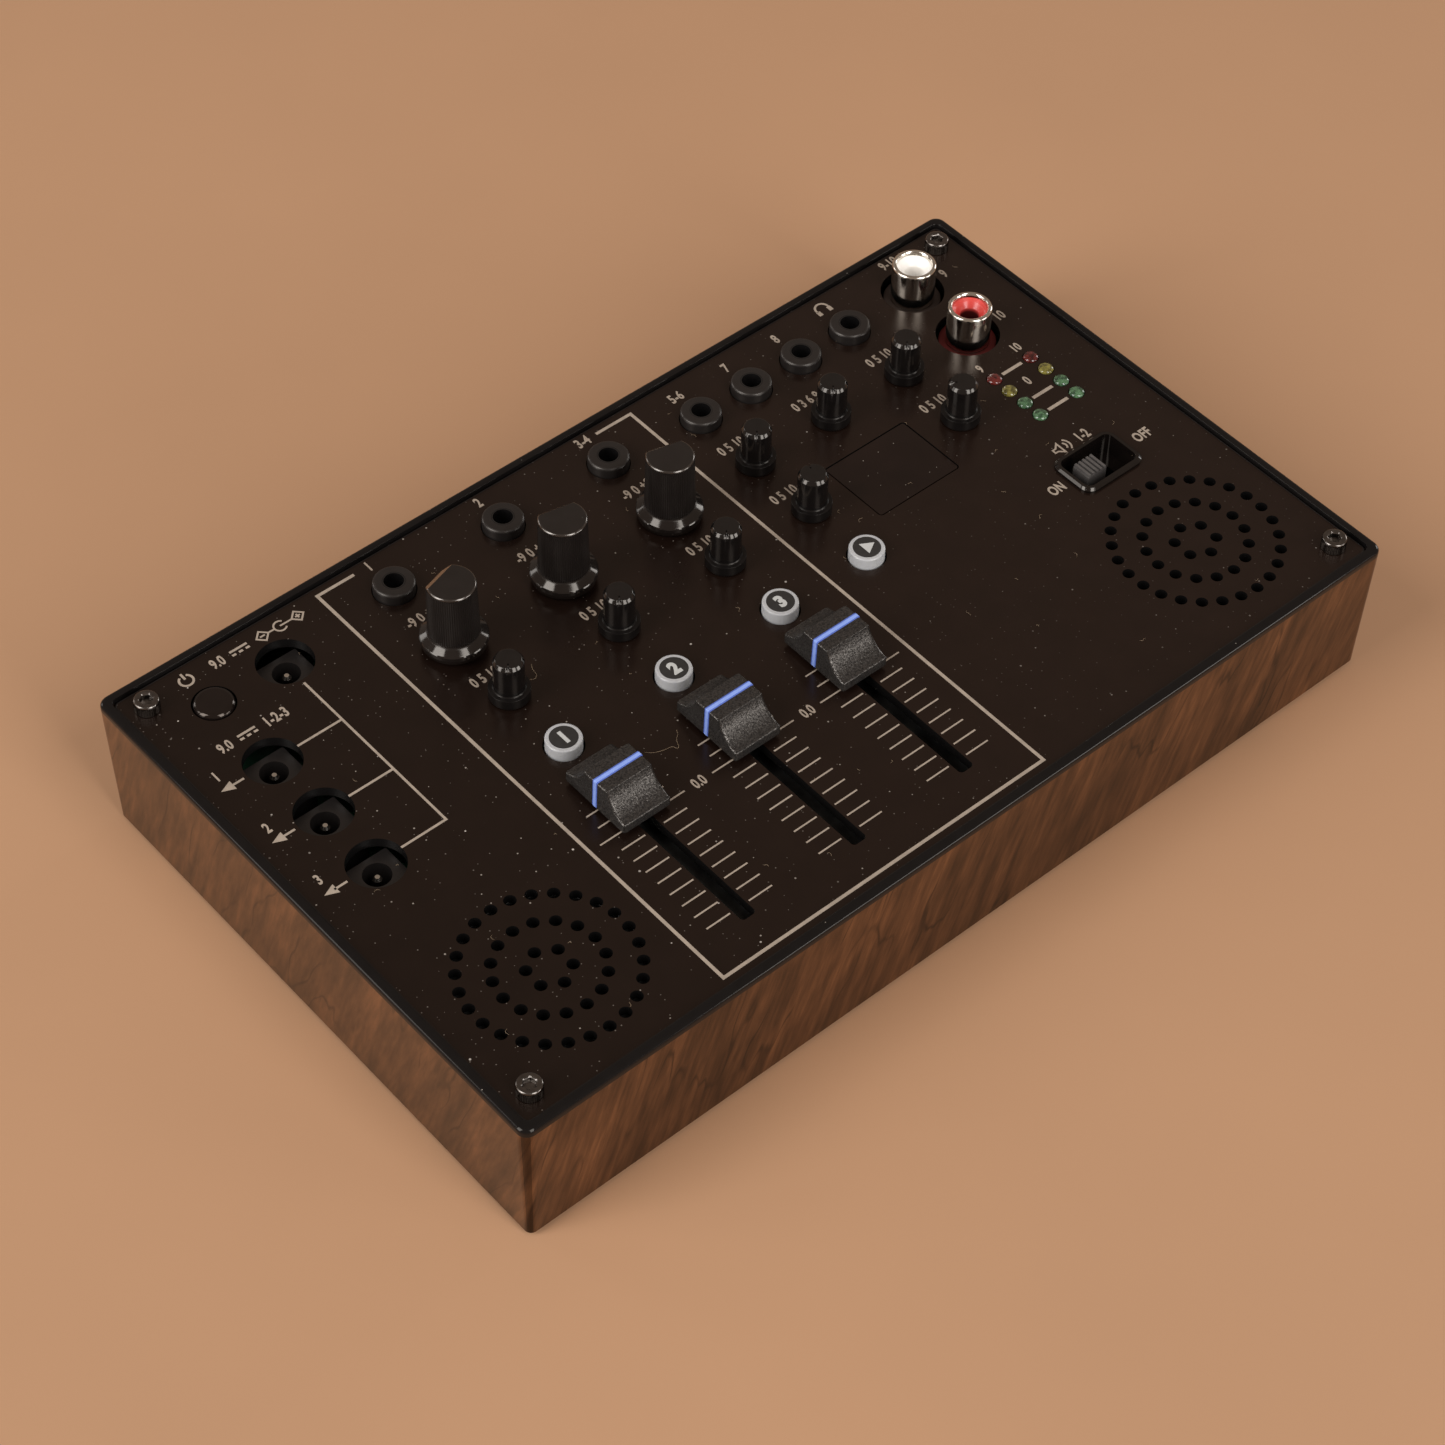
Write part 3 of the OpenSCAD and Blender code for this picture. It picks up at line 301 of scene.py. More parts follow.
def painted_shade_left(made, low):
    """Painted shade: the colour times low at the left end, rising to one at the middle."""
    return shaded(made, spread(coordinate(made, "Object", "X"), low, 1.0, -0.09, 0.03))


def mirror_case_painted():
    """Smoked mirror: a dark metal whose colour carries a painted reflection of wood grain, its reflectance wandering in
    leaning streaks, broad ones crossed by fine, with thin dark lines where a slow field passes a round number; and
    painted shade makes it darker where a corner turns."""
    made = finish("case_finish", (0.176, 0.108, 0.066), (0.09, 0.15), 0.08, 0.01, Metallic=1.0)
    lean = (Matrix.Rotation(-0.24, 3, "Y") @ Matrix.Rotation(radians(45), 3, "Z")).to_euler()
    # Painted reflection: the broad and fine leaning streaks and the thin dark lines stand in for a mirrored wood grain.
    factor = spread(noise(made, 0.0080, 5, (1.0, 0.0, 0.15), lean, 0.6), 0.50, 1.42)
    for blotch, slant, low, high in ((0.0022, 0.13, 0.52, 1.42), (0.0008, 0.09, 0.68, 1.30)):
        streaks = spread(noise(made, blotch, 3, (1.0, 0.0, slant), lean), low, high)
        factor = maths("MULTIPLY", factor, streaks)
    slow = spread(noise(made, 0.019, 4, (1.0, 0.0, 0.15), lean, 0.5), 0, 9, 0, 1)
    strength = spread(noise(made, 0.013, 2), 1.0, 0.38, 0.42, 0.60)
    lines = spread(maths("PINGPONG", slow, 0.5), strength, 1.0, 0.006, 0.050)
    factor = maths("MULTIPLY", factor, lines)
    # Painted shade: the colour is darker where the case's corner turns.
    corner = maths("COMPARE", maths("ABSOLUTE", coordinate(made, "Normal", "X")), 0.62, 0.30)
    return shaded(made, maths("MULTIPLY", factor, blend(corner, 1.0, 0.52)))


panel_paint = finish("panel_paint", (0.0098, 0.0051, 0.0036), (0.21, 0.28), 0.10, 0.006, 0.000002, 0.0002,
                     Specular_IOR_Level=0.37, Specular_Tint=BROWN)
# Painted shade: the panel's colour is darker towards its left end.
painted_shade_left(panel_paint, 0.66)
black_walls(panel_paint, 0.24)
dusted(panel_paint, 0.16, 0.0014, 0.00026, (0.20, 0.17, 0.145), 0.5, 0.3)
dusted(panel_paint, 0.06, 0.0024, 0.00036, (0.32, 0.28, 0.24), 0.75, 0.4)
dusted(panel_paint, 0.03, 0.0055, 0.00046, (0.50, 0.45, 0.40), 0.9, 0.5)
rim_black = dusted(finish("rim_black", (0.0062, 0.0054, 0.0052), (0.08, 0.12), 0.1, 0.003,
                          Specular_IOR_Level=0.21, Specular_Tint=WARM), 0.04, 0.002, 0.0002)
rim_gloss = finish("rim_gloss", (0.006, 0.0056, 0.0056), (0.16, 0.22), 0.1, 0.003)
case_finish = mirror_case_painted()
print("panel, rim and case finishes ready")

# %% [markdown]
# The moulded parts differ mostly in gloss. Fader caps are matt with a fine
# spark-eroded grain, small knobs are polished, and the big knobs are satin above
# a polished flange. That last change happens on one solid, so its roughness
# follows height.

# %% Plastic, rubber and metal finishes
BIG_TURN = (16, -12, -14)
BEVEL_SLOPE = 46
KNOB_LIFT = (0.0006, 0.0003, 0.0)
CONE_TOP = 0.0033


def two_gloss(name, colour, low_gloss, high_gloss, face_gloss, height, bevel_way):
    """Polished below a height and satin above it; the pointer face and the rounded top edge, the only
    parts up there whose normal leans, are glossier again, and the bevel above the pointer face, which
    faces bevel_way, mirrors the most."""
    made = finish(name, colour, high_gloss, 0.14, 0.003, 0.000005, 0.00016, Specular_Tint=WARM)
    upper = above(made, height - 0.00003, height + 0.00003)
    leaning = maths("COMPARE", coordinate(made, "Normal", "Z"), 0.55, 0.40)
    over(made, leaning, Roughness=face_gloss)
    under(made, upper, Roughness=low_gloss)
    feed(inputs_of(made)["Normal"].links[0].from_node.inputs["Strength"], upper)
    sockets = {0: coordinate(made, "Normal"), 1: bevel_way}
    same_way = node_of(made.node_tree, "ShaderNodeVectorMath", sockets, operation="DOT_PRODUCT").outputs["Value"]
    high = above(made, height + 0.0040, height + 0.0042)
    over(made, maths("MULTIPLY", leaning, high), IOR=1.95)
    over(made, maths("MULTIPLY", spread(same_way, 0, 1, 0.955, 0.975), high), IOR=3.2)
    return dusted(made, 0.05, 0.0022, 0.0002)


def glinting(made, grain, low, high):
    """Each grain of the surface reflects a different share of the light."""
    feed(inputs_of(made)["Specular IOR Level"], spread(noise(made, grain, 1), low, high, 0.36, 0.64))
    return made


def shiny_edges(made, gloss):
    """Smoother where the surface is turning from one side to the next: there the normal's x is neither
    near nought nor near one."""
    turning = maths("COMPARE", maths("ABSOLUTE", coordinate(made, "Normal", "X")), 0.55, 0.38)
    return over(made, turning, Roughness=gloss)


def painted_shade_below(made, height, colour, soft=0.0004):
    """Painted shade: the colour gives way to a darker and duller one below a height, where the part sinks into shade.
    """
    return under(made, above(made, height, height + soft), Base_Color=colour, Roughness=0.6, Specular_IOR_Level=0.12)


knob_satin = []
for i, (lift, turn_by) in enumerate(zip(KNOB_LIFT, BIG_TURN)):
    slope, ahead = radians(BEVEL_SLOPE), radians(90 + turn_by)
    bevel_way = (cos(slope) * cos(ahead), cos(slope) * sin(ahead), sin(slope))
    knob_satin.append(two_gloss(f"knob_satin_{i + 1}", (0.0086, 0.0066, 0.0058), 0.10, (0.32, 0.40), 0.19,
                                PANEL_TOP + CONE_TOP + lift, bevel_way))
knob_gloss = dusted(finish("knob_translucent", (0.0050, 0.0042, 0.0040), (0.10, 0.15), 0.2, 0.002,
                           Specular_Tint=WARM), 0.04, 0.0022, 0.00025)
FLANGE_TOP = PANEL_TOP + 0.0029
under(knob_gloss, above(knob_gloss, FLANGE_TOP - 0.0001, FLANGE_TOP + 0.0001), Roughness=0.28, Specular_IOR_Level=0.22)
cap_grey = shiny_edges(finish("cap_grey", (0.0170, 0.0155, 0.0145), (0.22, 0.44), 0.55, 0.00034, 0.00009, 0.00034,
                              Specular_Tint=WARM), 0.15)
glinting(cap_grey, 0.00027, 0.15, 1.0)
jack_black = finish("jack_black", (0.0125, 0.0105, 0.0098), (0.30, 0.40), 0.12, 0.002, 0.000004, 0.0002,
                    Specular_Tint=WARM)
jack_gloss = finish("jack_gloss", (0.006, 0.0055, 0.0055), (0.09, 0.13), 0.15, 0.002)
button_black = finish("button_black", (0.0060, 0.0040, 0.0034), (0.10, 0.14), 0.12, 0.003, Specular_IOR_Level=0.42,
                      Specular_Tint=BROWN)
switch_black = finish("switch_black", (0.0042, 0.0030, 0.0026), (0.10, 0.14), 0.15, 0.003, Specular_Tint=WARM)
slider_grey = finish("slider_grey", (0.075, 0.068, 0.064), (0.38, 0.50), 0.14, 0.0012, 0.00001, 0.00015)
foot_rubber = finish("foot_rubber", (0.016, 0.015, 0.0145), (0.75, 0.9), 0.2, 0.002, 0.00003, 0.0005)
button_milky = finish("button_milky", (0.42, 0.42, 0.425), (0.26, 0.34), 0.03, 0.003,
                      Subsurface_Weight=0.5, Subsurface_Radius=(0.0012, 0.0012, 0.0014))
screw_steel = finish("screw_steel", (0.145, 0.130, 0.118), (0.17, 0.26), 0.2, 0.0012, 0.000003, 0.0001, Metallic=1.0)
nickel = finish("phono_nickel", (0.66, 0.62, 0.56), (0.10, 0.20), 0.12, 0.0016, Metallic=1.0)
plain_steel = finish("plain_steel", (0.42, 0.41, 0.39), (0.28, 0.42), 0.15, 0.002, Metallic=1.0)
brass = finish("brass", (0.62, 0.45, 0.18), (0.25, 0.4), 0.12, 0.002, Metallic=1.0)
phono_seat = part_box("phono_shell_left")[0].z
# Painted shade: the white insert is darker below its seat, and the red one from 5.4 mm above its seat down, inside its
# shell and pin hole.
insert_white = painted_shade_below(finish("insert_white", (0.98, 0.95, 0.90), (0.28, 0.36), 0.01, 0.003, Subsurface_Weight=0.15,
                                 Subsurface_Radius=(0.004, 0.004, 0.004)), phono_seat, (0.030, 0.020, 0.016))
insert_red = painted_shade_below(finish("insert_red", (0.60, 0.060, 0.050), (0.24, 0.32), 0.06, 0.003),
                        phono_seat + 0.0054, (0.060, 0.007, 0.006), 0.0009)
board_green = finish("board_green", (0.012, 0.06, 0.03), (0.3, 0.42), 0.2, 0.004)
module_black = finish("module_black", (0.01, 0.012, 0.016), (0.4, 0.5), 0.15, 0.003)
speaker_metal = finish("speaker_metal", (0.30, 0.29, 0.28), (0.35, 0.5), 0.15, 0.003, Metallic=1.0)
cone_paper = finish("cone_paper", (0.010, 0.009, 0.008), (0.8, 0.95), 0.3, 0.001, 0.00004, 0.0003)
window_smoke = dusted(finish("window_smoke", (0.0085, 0.0042, 0.0032), (0.12, 0.17), 0.2, 0.008,
                             Specular_IOR_Level=0.38, Specular_Tint=WARM),
                      0.08, 0.0018, 0.0002)
print("finishes", len(bpy.data.materials))

# %% [markdown]
# The meter's lamps are tinted resin, unlit. Light enters, bounces on the die
# inside and comes back coloured, so a lamp is brighter on the side away from the
# light. A colour that changes in blotches of the die's size, with some light let
# in under the surface, gives that without a simulation of the die.

# %% Lamp resins
def resin(name, colour, deep):
    """Tinted resin, its colour going from deep to bright in blotches about the size of the die: painted light that
    stands in for light bounced back off the die.
    """
    made = finish(name, colour, (0.06, 0.12), 0.1, 0.002, Subsurface_Weight=0.35,
                  Subsurface_Radius=(0.001, 0.001, 0.001), Coat_Weight=0.4, Coat_Roughness=0.05)
    return under(made, spread(noise(made, 0.0011, 2), 0, 1, 0.42, 0.58), Base_Color=deep)


lamp_red = resin("lamp_red", (0.105, 0.013, 0.010), (0.030, 0.004, 0.003))
lamp_yellow = resin("lamp_yellow", (0.215, 0.185, 0.040), (0.080, 0.066, 0.016))
lamp_green = resin("lamp_green", (0.078, 0.160, 0.078), (0.026, 0.060, 0.030))
print("resins ready")

# %% [markdown]
# Each CAD node takes its finish by name. The glTF import gave every node one
# material slot, so replacing what is in the slot is enough.

# %% Paint the CAD nodes
NODES_OF = [
    (case_finish, "case_tub"), (rim_black, "top_rim"), (panel_paint, "top_panel"), (screw_steel, "panel_screws"),
    (foot_rubber, "rubber_feet"), (board_green, "main_board"), (brass, "board_spacers"),
    (jack_black, "channel_jacks line_jacks dc_jacks"), (nickel, "phono_shell_left phono_shell_right dc_centre_pins"),
    (insert_white, "phono_insert_left"), (insert_red, "phono_insert_right"), (lamp_red, "red_lamps"),
    (lamp_yellow, "yellow_lamps"), (lamp_green, "green_lamps"), (window_smoke, "display_window"),
    (module_black, "display_module push_switches"), (speaker_metal, "speaker_left speaker_right"),
    (cone_paper, "speaker_cones"), (switch_black, "slide_switch_housing"), (slider_grey, "speaker_slider"),
    (knob_gloss, "width_knob dynamics_knob speed_knob tempo_knob volume_knob send_knob_1 send_knob_2 send_knob_3"),
    (button_milky, "play_button mute_button_1 mute_button_2 mute_button_3"), (button_black, "power_button"),
    (plain_steel, "board_screws large_pots small_pots"), (cap_grey, "fader_cap_1 fader_cap_2 fader_cap_3"),
]
FINISH_OF = {node: paint for paint, nodes in NODES_OF for node in nodes.split()}
for i, satin in enumerate(knob_satin, 1):
    FINISH_OF[f"big_knob_{i}"] = satin
    FINISH_OF.update({f"{part}_{i}": plain_steel for part in ("fader_body", "fader_lever", "knob_shaft")})
for name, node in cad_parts.items():
    node.data.materials.clear()
    node.data.materials.append(FINISH_OF[name])
print("painted", len(FINISH_OF), "nodes")

# %% [markdown]
# New pieces are surfaces. A turned part is a profile carried round an axis; a
# printed line is a flat band carried along its path. Both end as a grid of
# points, so one small helper can make the mesh, weld its poles and seams and
# turn its faces outwards.

# %% Surface kit
def piece(name, shells, body, paint, crease=35):
    """One object from several (points, faces) shells, welded and facing out: smooth except at creases, or
    flat all over if there is no crease angle."""
    points = [np.asarray(spots, float).reshape(-1, 3) for spots, _ in shells]
    starts = np.cumsum([0] + [len(spots) for spots in points]).tolist()
    faces = [[v + start for v in face] for (_, listed), start in zip(shells, starts) for face in listed]
    mesh = bpy.data.meshes.new(name)
    mesh.from_pydata(np.concatenate(points).tolist(), [], faces)
    work = bmesh.new()
    work.from_mesh(mesh)
    bmesh.ops.remove_doubles(work, verts=work.verts, dist=2e-7)
    if crease:
        bmesh.ops.dissolve_degenerate(work, edges=work.edges, dist=1e-8)
    bmesh.ops.recalc_face_normals(work, faces=work.faces)
    work.to_mesh(mesh)
    work.free()
    if crease:
        mesh.shade_smooth()
        mesh.set_sharp_from_angle(angle=radians(crease))
    mesh.materials.append(paint)
    made = bpy.data.objects.new(name, mesh)
    bpy.context.scene.collection.objects.link(made)
    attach(made, body)
    return made


def stand_in(node, name, shells, body, crease):
    """A piece that replaces a CAD node and has its finish."""
    made = piece(name, shells, body, FINISH_OF[node], crease)
    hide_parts(node)
    return made


def tube_faces(rings, count, closed=False):
    """Quads along a row of rings of `count` points, with a lid on either end unless the row is closed."""
    last = count * (rings - 1)
    lids = [list(range(count)), list(range(last + count - 1, last - 1, -1))]
    return grid_faces(rings, count, closed, True) + ([] if closed else lids)


def turned(profile, centre, steps, wobble=None):
    """p(u, t) = centre + (r(u) cos t, r(u) sin t, z(u)), with r times wobble(u, t) if given. A profile
    that starts and ends on the axis closes by itself; any other is taken as a loop."""
    profile = np.asarray(profile, float)
    t = np.linspace(0, 2 * pi, steps, endpoint=False)
    r = profile[:, :1] * np.ones_like(t)
    if wobble is not None:
        r = r * wobble(np.arange(len(profile))[:, None], t[None, :])
    z = profile[:, 1:2] * np.ones_like(t)
    points = np.stack([centre[0] + r * np.cos(t), centre[1] + r * np.sin(t), centre[2] + z], -1)
    loop = profile[0, 0] > 0
    return points, grid_faces(len(profile), steps, loop, True)


def placed(points, turn, x, y, base, scale=MM):
    """Points turned by an angle about the upright axis, scaled, and moved to x, y, base."""
    spun = (points[..., 0] + 1j * points[..., 1]) * np.exp(1j * turn)
    return np.stack([spun.real * scale + x, spun.imag * scale + y, points[..., 2] * scale + base], -1)


def knob(node, base, turn, profile, steps, wobble):
    """A turned knob on the axis of a CAD node; its pointer, at t = 0, is `turn` degrees round from the back."""
    x, y, _ = middle_of(node)
    points, faces = turned(profile, (0, 0, 0), steps, wobble)
    return placed(points, pi / 2 + radians(turn), x, y, base), faces


def rail(path, section, closed):
    """A section carried along a path of x, y points: a section point (a, z) lies a to the left of each
    path point, along the mitre n / (n . m), at height z, and the points are joined along the path."""
    after = np.roll(path, -1, 0) - path
    before = path - np.roll(path, 1, 0)
    if not closed:
        after[-1], before[0] = before[-1], after[0]
    after /= np.linalg.norm(after, axis=1, keepdims=True)
    before /= np.linalg.norm(before, axis=1, keepdims=True)
    side = np.stack([-after[:, 1], after[:, 0]], 1)
    mitre = side + np.stack([-before[:, 1], before[:, 0]], 1)
    mitre /= np.linalg.norm(mitre, axis=1, keepdims=True)
    reach = mitre / np.sum(mitre * side, 1, keepdims=True)
    points = np.stack([np.column_stack([path + a * reach, np.full(len(path), z)]) for a, z in section], 1)
    return points, tube_faces(len(path), len(section), closed)


def circle_path(x, y, r, start=0, end=360, steps=28):
    """x + r cos a, y + r sin a for a from start to end in degrees."""
    a = np.radians(np.linspace(start, end, steps, endpoint=abs(end - start) < 360))
    return np.stack([x + r * np.cos(a), y + r * np.sin(a)], 1)


def fillet(corners, steps=6, closed=False):
    """Corners (x, y, r): a corner whose sides open by 2h is cut back by r / tan h along both sides, and an
    arc of radius r about the point r / sin h along the bisector joins the cuts."""
    spots = np.array([c[:2] for c in corners], float)
    out = []
    for k, (x, y, r) in enumerate(corners):
        ends = not closed and k in (0, len(corners) - 1)
        if r == 0 or ends:
            out.append(spots[k][None])
            continue
        sides = [spots[k - 1] - spots[k], spots[(k + 1) % len(spots)] - spots[k]]
        first, second = (side / np.linalg.norm(side) for side in sides)
        half = np.arccos(np.clip(first @ second, -1, 1)) / 2
        middle = spots[k] + (first + second) / np.linalg.norm(first + second) * r / np.sin(half)
        cuts = [spots[k] + way * r / np.tan(half) - middle for way in (first, second)]
        a, b = (np.arctan2(cut[1], cut[0]) for cut in cuts)
        swing = (b - a + pi) % (2 * pi) - pi
        angle = a + swing * np.linspace(0, 1, steps)
        out.append(middle + r * np.stack([np.cos(angle), np.sin(angle)], 1))
    return np.concatenate(out)


def finer(profile, step):
    """Adds points along a profile so that no two neighbours are further apart than step."""
    parts = []
    for a, b in zip(profile[:-1], profile[1:]):
        count = max(1, int(np.ceil(np.linalg.norm(b - a) / step)))
        parts.append(a + (b - a) * np.linspace(0, 1, count, endpoint=False)[:, None])
    return np.concatenate(parts + [profile[-1:]])


def middle_of(node):
    """x and y of the middle of a CAD node, and the height of its top, in metres."""
    lo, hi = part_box(node)
    return (lo.x + hi.x) / 2, (lo.y + hi.y) / 2, hi.z


def foot_of(node):
    """The height of a CAD node's foot over the panel's face, in millimetres: below nought inside the case."""
    return (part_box(node)[0].z - PANEL_TOP) / MM


# %% [markdown]
# Moulded knobs have no true corner anywhere: every edge is a small rounding,
# and the rounding is where the lamps show up as a bright line. So the knobs are
# turned again here from profiles whose corners are rounded, with many more steps
# than the CAD needs. The ribs of a large knob are a ripple in the radius, and
# its pointer face and the bevel above it are planes that the radius never passes.

# %% Large knobs
BIG_TOP = 14.3
RIBS, RIB_DEPTH = 72, 0.045
FACE_REACH, FACE_SLOPE, BEVEL_REACH = 2.9, 30, 2.3
BIG_PROFILE = [(0, 8.9, 0), (3.02, 8.9, 0), (3.02, 0, 0), (5.75, 0, 0), (6, 0.9, 0.2), (6, 1.62, 0.2),
               (5.84, 1.86, 0.15), (4.72, 2.68, 0.2), (4.55, 2.78, 0), (4.3, BIG_TOP, 0.45), (0, BIG_TOP, 0)]


def big_knob(node, turn):
    """r(u, t) = min(profile r - 0.045 (1 - cos 72 t) on the grip, (2.9 + h tan 30) / cos t, (2.3 + h tan 46)
    / cos t), h the depth below the top: the last two are the distances to the pointer face and to the
    bevel above it along the direction t, for t within a quarter turn."""
    profile = finer(fillet(BIG_PROFILE, 7), 0.16)
    r, z = profile[:, :1], profile[:, 1:]
    grip = (r > 4.0) & (z > 2.95) & (z < 13.75)

    def wobble(u, t):
        ribbed = r - np.where(grip, RIB_DEPTH, 0.0) * (1 - np.cos(RIBS * t))
        h = BIG_TOP - z
        reach = np.minimum(FACE_REACH + h * np.tan(radians(FACE_SLOPE)), BEVEL_REACH + h * np.tan(radians(BEVEL_SLOPE)))
        plane = reach / np.maximum(np.cos(t), 0.05)
        ahead = (np.cos(t) > 0.05) & (z > 2.75) & (u > len(r) // 3)
        return np.where(ahead, np.minimum(ribbed, plane), ribbed) / np.maximum(r, 1e-9)

    return knob(node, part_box(node)[0].z, turn, profile, 360, wobble)


for i, turn_by in enumerate(BIG_TURN, 1):
    node = f"big_knob_{i}"
    stand_in(node, f"{node}_moulding", [big_knob(node, turn_by)], node, 32)
print("large knobs", len(BIG_TURN))

# %% [markdown]
# The small knobs are one moulding from the rotor inside the pot up to the top.
# The pointer is a V notch in the top edge that runs out into a shallow groove.

# %% Small knobs
TURN_OF = {"send_knob_1": 140, "send_knob_2": 140, "send_knob_3": 140, "width_knob": 140, "dynamics_knob": 140,
           "speed_knob": 140, "tempo_knob": -20, "volume_knob": 60}
SMALL_PROFILE = [(0, -9.2, 0), (2.65, -9.2, 0), (2.65, 0, 0), (3.5, 0, 0.1), (3.65, 0.3, 0.05), (3.65, 2.2, 0.05),
                 (2.95, 2.27, 0.05), (2.8, 2.5, 0.1), (2.72, 8.38, 0.35), (2.24, 9.1, 0.3), (0, 9.1, 0)]
SMALL_BASE = PANEL_TOP + 0.2 * MM
NOTCH_HEIGHTS, NOTCH_DEPTHS, NOTCH_WIDTH = [5.6, 6.2, 8.0, 8.6, 9.1], [0, 0.07, 0.12, 0.42, 0.62], 0.115


def small_knob(node, turn):
    """r(u, t) = profile r - depth(z) exp(-(t / width)^2): the notch is deepest at the top and fades to
    a shallow groove 2.5 mm further down."""
    profile = finer(fillet(SMALL_PROFILE, 9), 0.22)
    r = profile[:, :1]
    depth = np.interp(profile[:, 1:], NOTCH_HEIGHTS, NOTCH_DEPTHS) * (r > 1.6)

    def wobble(u, t):
        fold = (t + pi) % (2 * pi) - pi
        return 1 - depth * np.exp(-(fold / NOTCH_WIDTH) ** 2) / np.maximum(r, 1e-9)

    return knob(node, SMALL_BASE, turn, profile, 168, wobble)


for node, turn_by in TURN_OF.items():
    stand_in(node, f"{node}_moulding", [small_knob(node, turn_by)], node, 40)
print("small knobs", len(TURN_OF))

# %% [markdown]
# A fader cap is one profile, carried across: upright lips at the ends, a deep
# hollow for the finger in each slope, a flat top. Its two side edges are rounded
# over, which is the profile drawn a little smaller at each step towards the side.

# %% Fader caps
CAP = {"half": 7.65, "width": 10.0, "height": 6.1, "lip": 1.8, "flat": 3.0, "hollow": 1.0, "lean": 0.2,
       "depth": 0.32, "across": 0.70}


def cap_loop(inset):
    """Half profile drawn `inset` smaller: lip at y = half - inset, slope on the circle of radius R + inset
    about the same middle, flat at z = height - inset, corners rounded; then its mirror image."""
    rise, run = CAP["height"] - CAP["lip"], CAP["half"] - CAP["flat"]
    chord = np.hypot(rise, run)
    radius = (chord ** 2 / 4 + CAP["hollow"] ** 2) / 2 / CAP["hollow"]
    out = np.array([rise, run]) / chord
    middle = np.array([CAP["half"] + CAP["flat"], CAP["height"] + CAP["lip"]]) / 2 + out * (radius - CAP["hollow"])
    radius += inset
    y, z = CAP["half"] - inset, CAP["height"] - inset
    low = np.array([y, middle[1] - np.sqrt(radius ** 2 - (y - middle[0]) ** 2)])
    high = np.array([middle[0] - np.sqrt(radius ** 2 - (z - middle[1]) ** 2), z])
    a0, a1 = (np.arctan2(*(p - middle)[::-1]) for p in (low, high))
    angle = a0 + ((a1 - a0 + pi) % (2 * pi) - pi) * np.linspace(0, 1, 21)
    slope = middle + radius * np.stack([np.cos(angle), np.sin(angle)], 1)
    soft = max(0.28 - 0.5 * inset, 0.04)
    crisp = max(0.16 - 0.3 * inset, 0.03)
    corners = [(y, 0, 0), (*slope[0], soft), *[(*p, 0) for p in slope[1:-1]], (*slope[-1], crisp), (0, z, 0)]
    right_half = fillet(corners, 6)
    return np.concatenate([right_half, right_half[-2::-1] * (-1, 1)])


def cap_shell(x, y, z):
    """Rings across the cap: at angle a of the side rounding, a quarter of an ellipse, the ring is
    depth (1 - sin a) smaller and stands across (1 - cos a) in from the side, which leans in with height."""
    rings = []
    angles = np.linspace(0, pi / 2, 9)
    for side, order in ((-1, angles), (1, angles[::-1])):
        for a in order:
            loop = cap_loop(CAP["depth"] * (1 - np.sin(a)))
            across = CAP["width"] / 2 - CAP["lean"] * loop[:, 1] / CAP["height"] - CAP["across"] * (1 - np.cos(a))
            rings.append(np.stack([side * across, loop[:, 0], loop[:, 1]], -1))
    points = np.stack(rings) * MM + (x, y, z)
    return points, tube_faces(*points.shape[:2])


for i in (1, 2, 3):
    node = f"fader_cap_{i}"
    x, y, _ = middle_of(node)
    shell = cap_shell(x, y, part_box(node)[0].z)
    stand_in(node, f"{node}_moulding", [shell], f"fader_{i}", 30)
print("fader caps 3")

# %% [markdown]
# Phono shells are drawn from sheet and plated. The mouth is rolled over to a
# fat lip, and each lamp makes an oval on it. The coloured insert inside is
# dished towards the pin hole.

# %% Phono shells and inserts
SHELL = [(3.55, 0, 0), (4.2, 0, 0.02), (4.2, 0.3, 0.03), (4.15, 0.4, 0.05), (4.15, 7.75, 0), (4.05, 8.25, 0.45),
         (3.45, 8.45, 0.3), (3.2, 7.95, 0.2), (3.2, 7.5, 0), (3.55, 7.5, 0)]
INSERT = [(0, -11.0, 0), (5.0, -11.0, 0), (5.0, -1.2, 0), (5.4, -1.2, 0.1), (5.4, 0, 0.15), (3.5, 0, 0),
          (3.5, 7.45, 0), (3.15, 7.5, 0.1), (2.6, 7.1, 0.5), (1.75, 6.1, 0.35), (1.7, 5.5, 0.2), (1.7, -5.7, 0),
          (0, -5.7, 0)]
for side, slot in (("left", "insert_white"), ("right", "insert_red")):
    node, inner = f"phono_shell_{side}", f"phono_insert_{side}"
    x, y, _ = middle_of(node)
    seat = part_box(node)[0].z
    shell = turned(fillet(SHELL, 8, True) * MM, (x, y, seat), 96)
    stand_in(node, f"{node}_pressing", [shell], "chassis", 50)
    shell = turned(fillet(INSERT, 6) * MM, (x, y, seat), 72)
    stand_in(inner, f"{inner}_moulding", [shell], "chassis", 40)
print("phono jacks 2")

# %% [markdown]
# The meter's lamps stand a little proud of the panel, as clear domes. A dome
# has a spot on it that faces every lamp in the room, so each one sparkles.

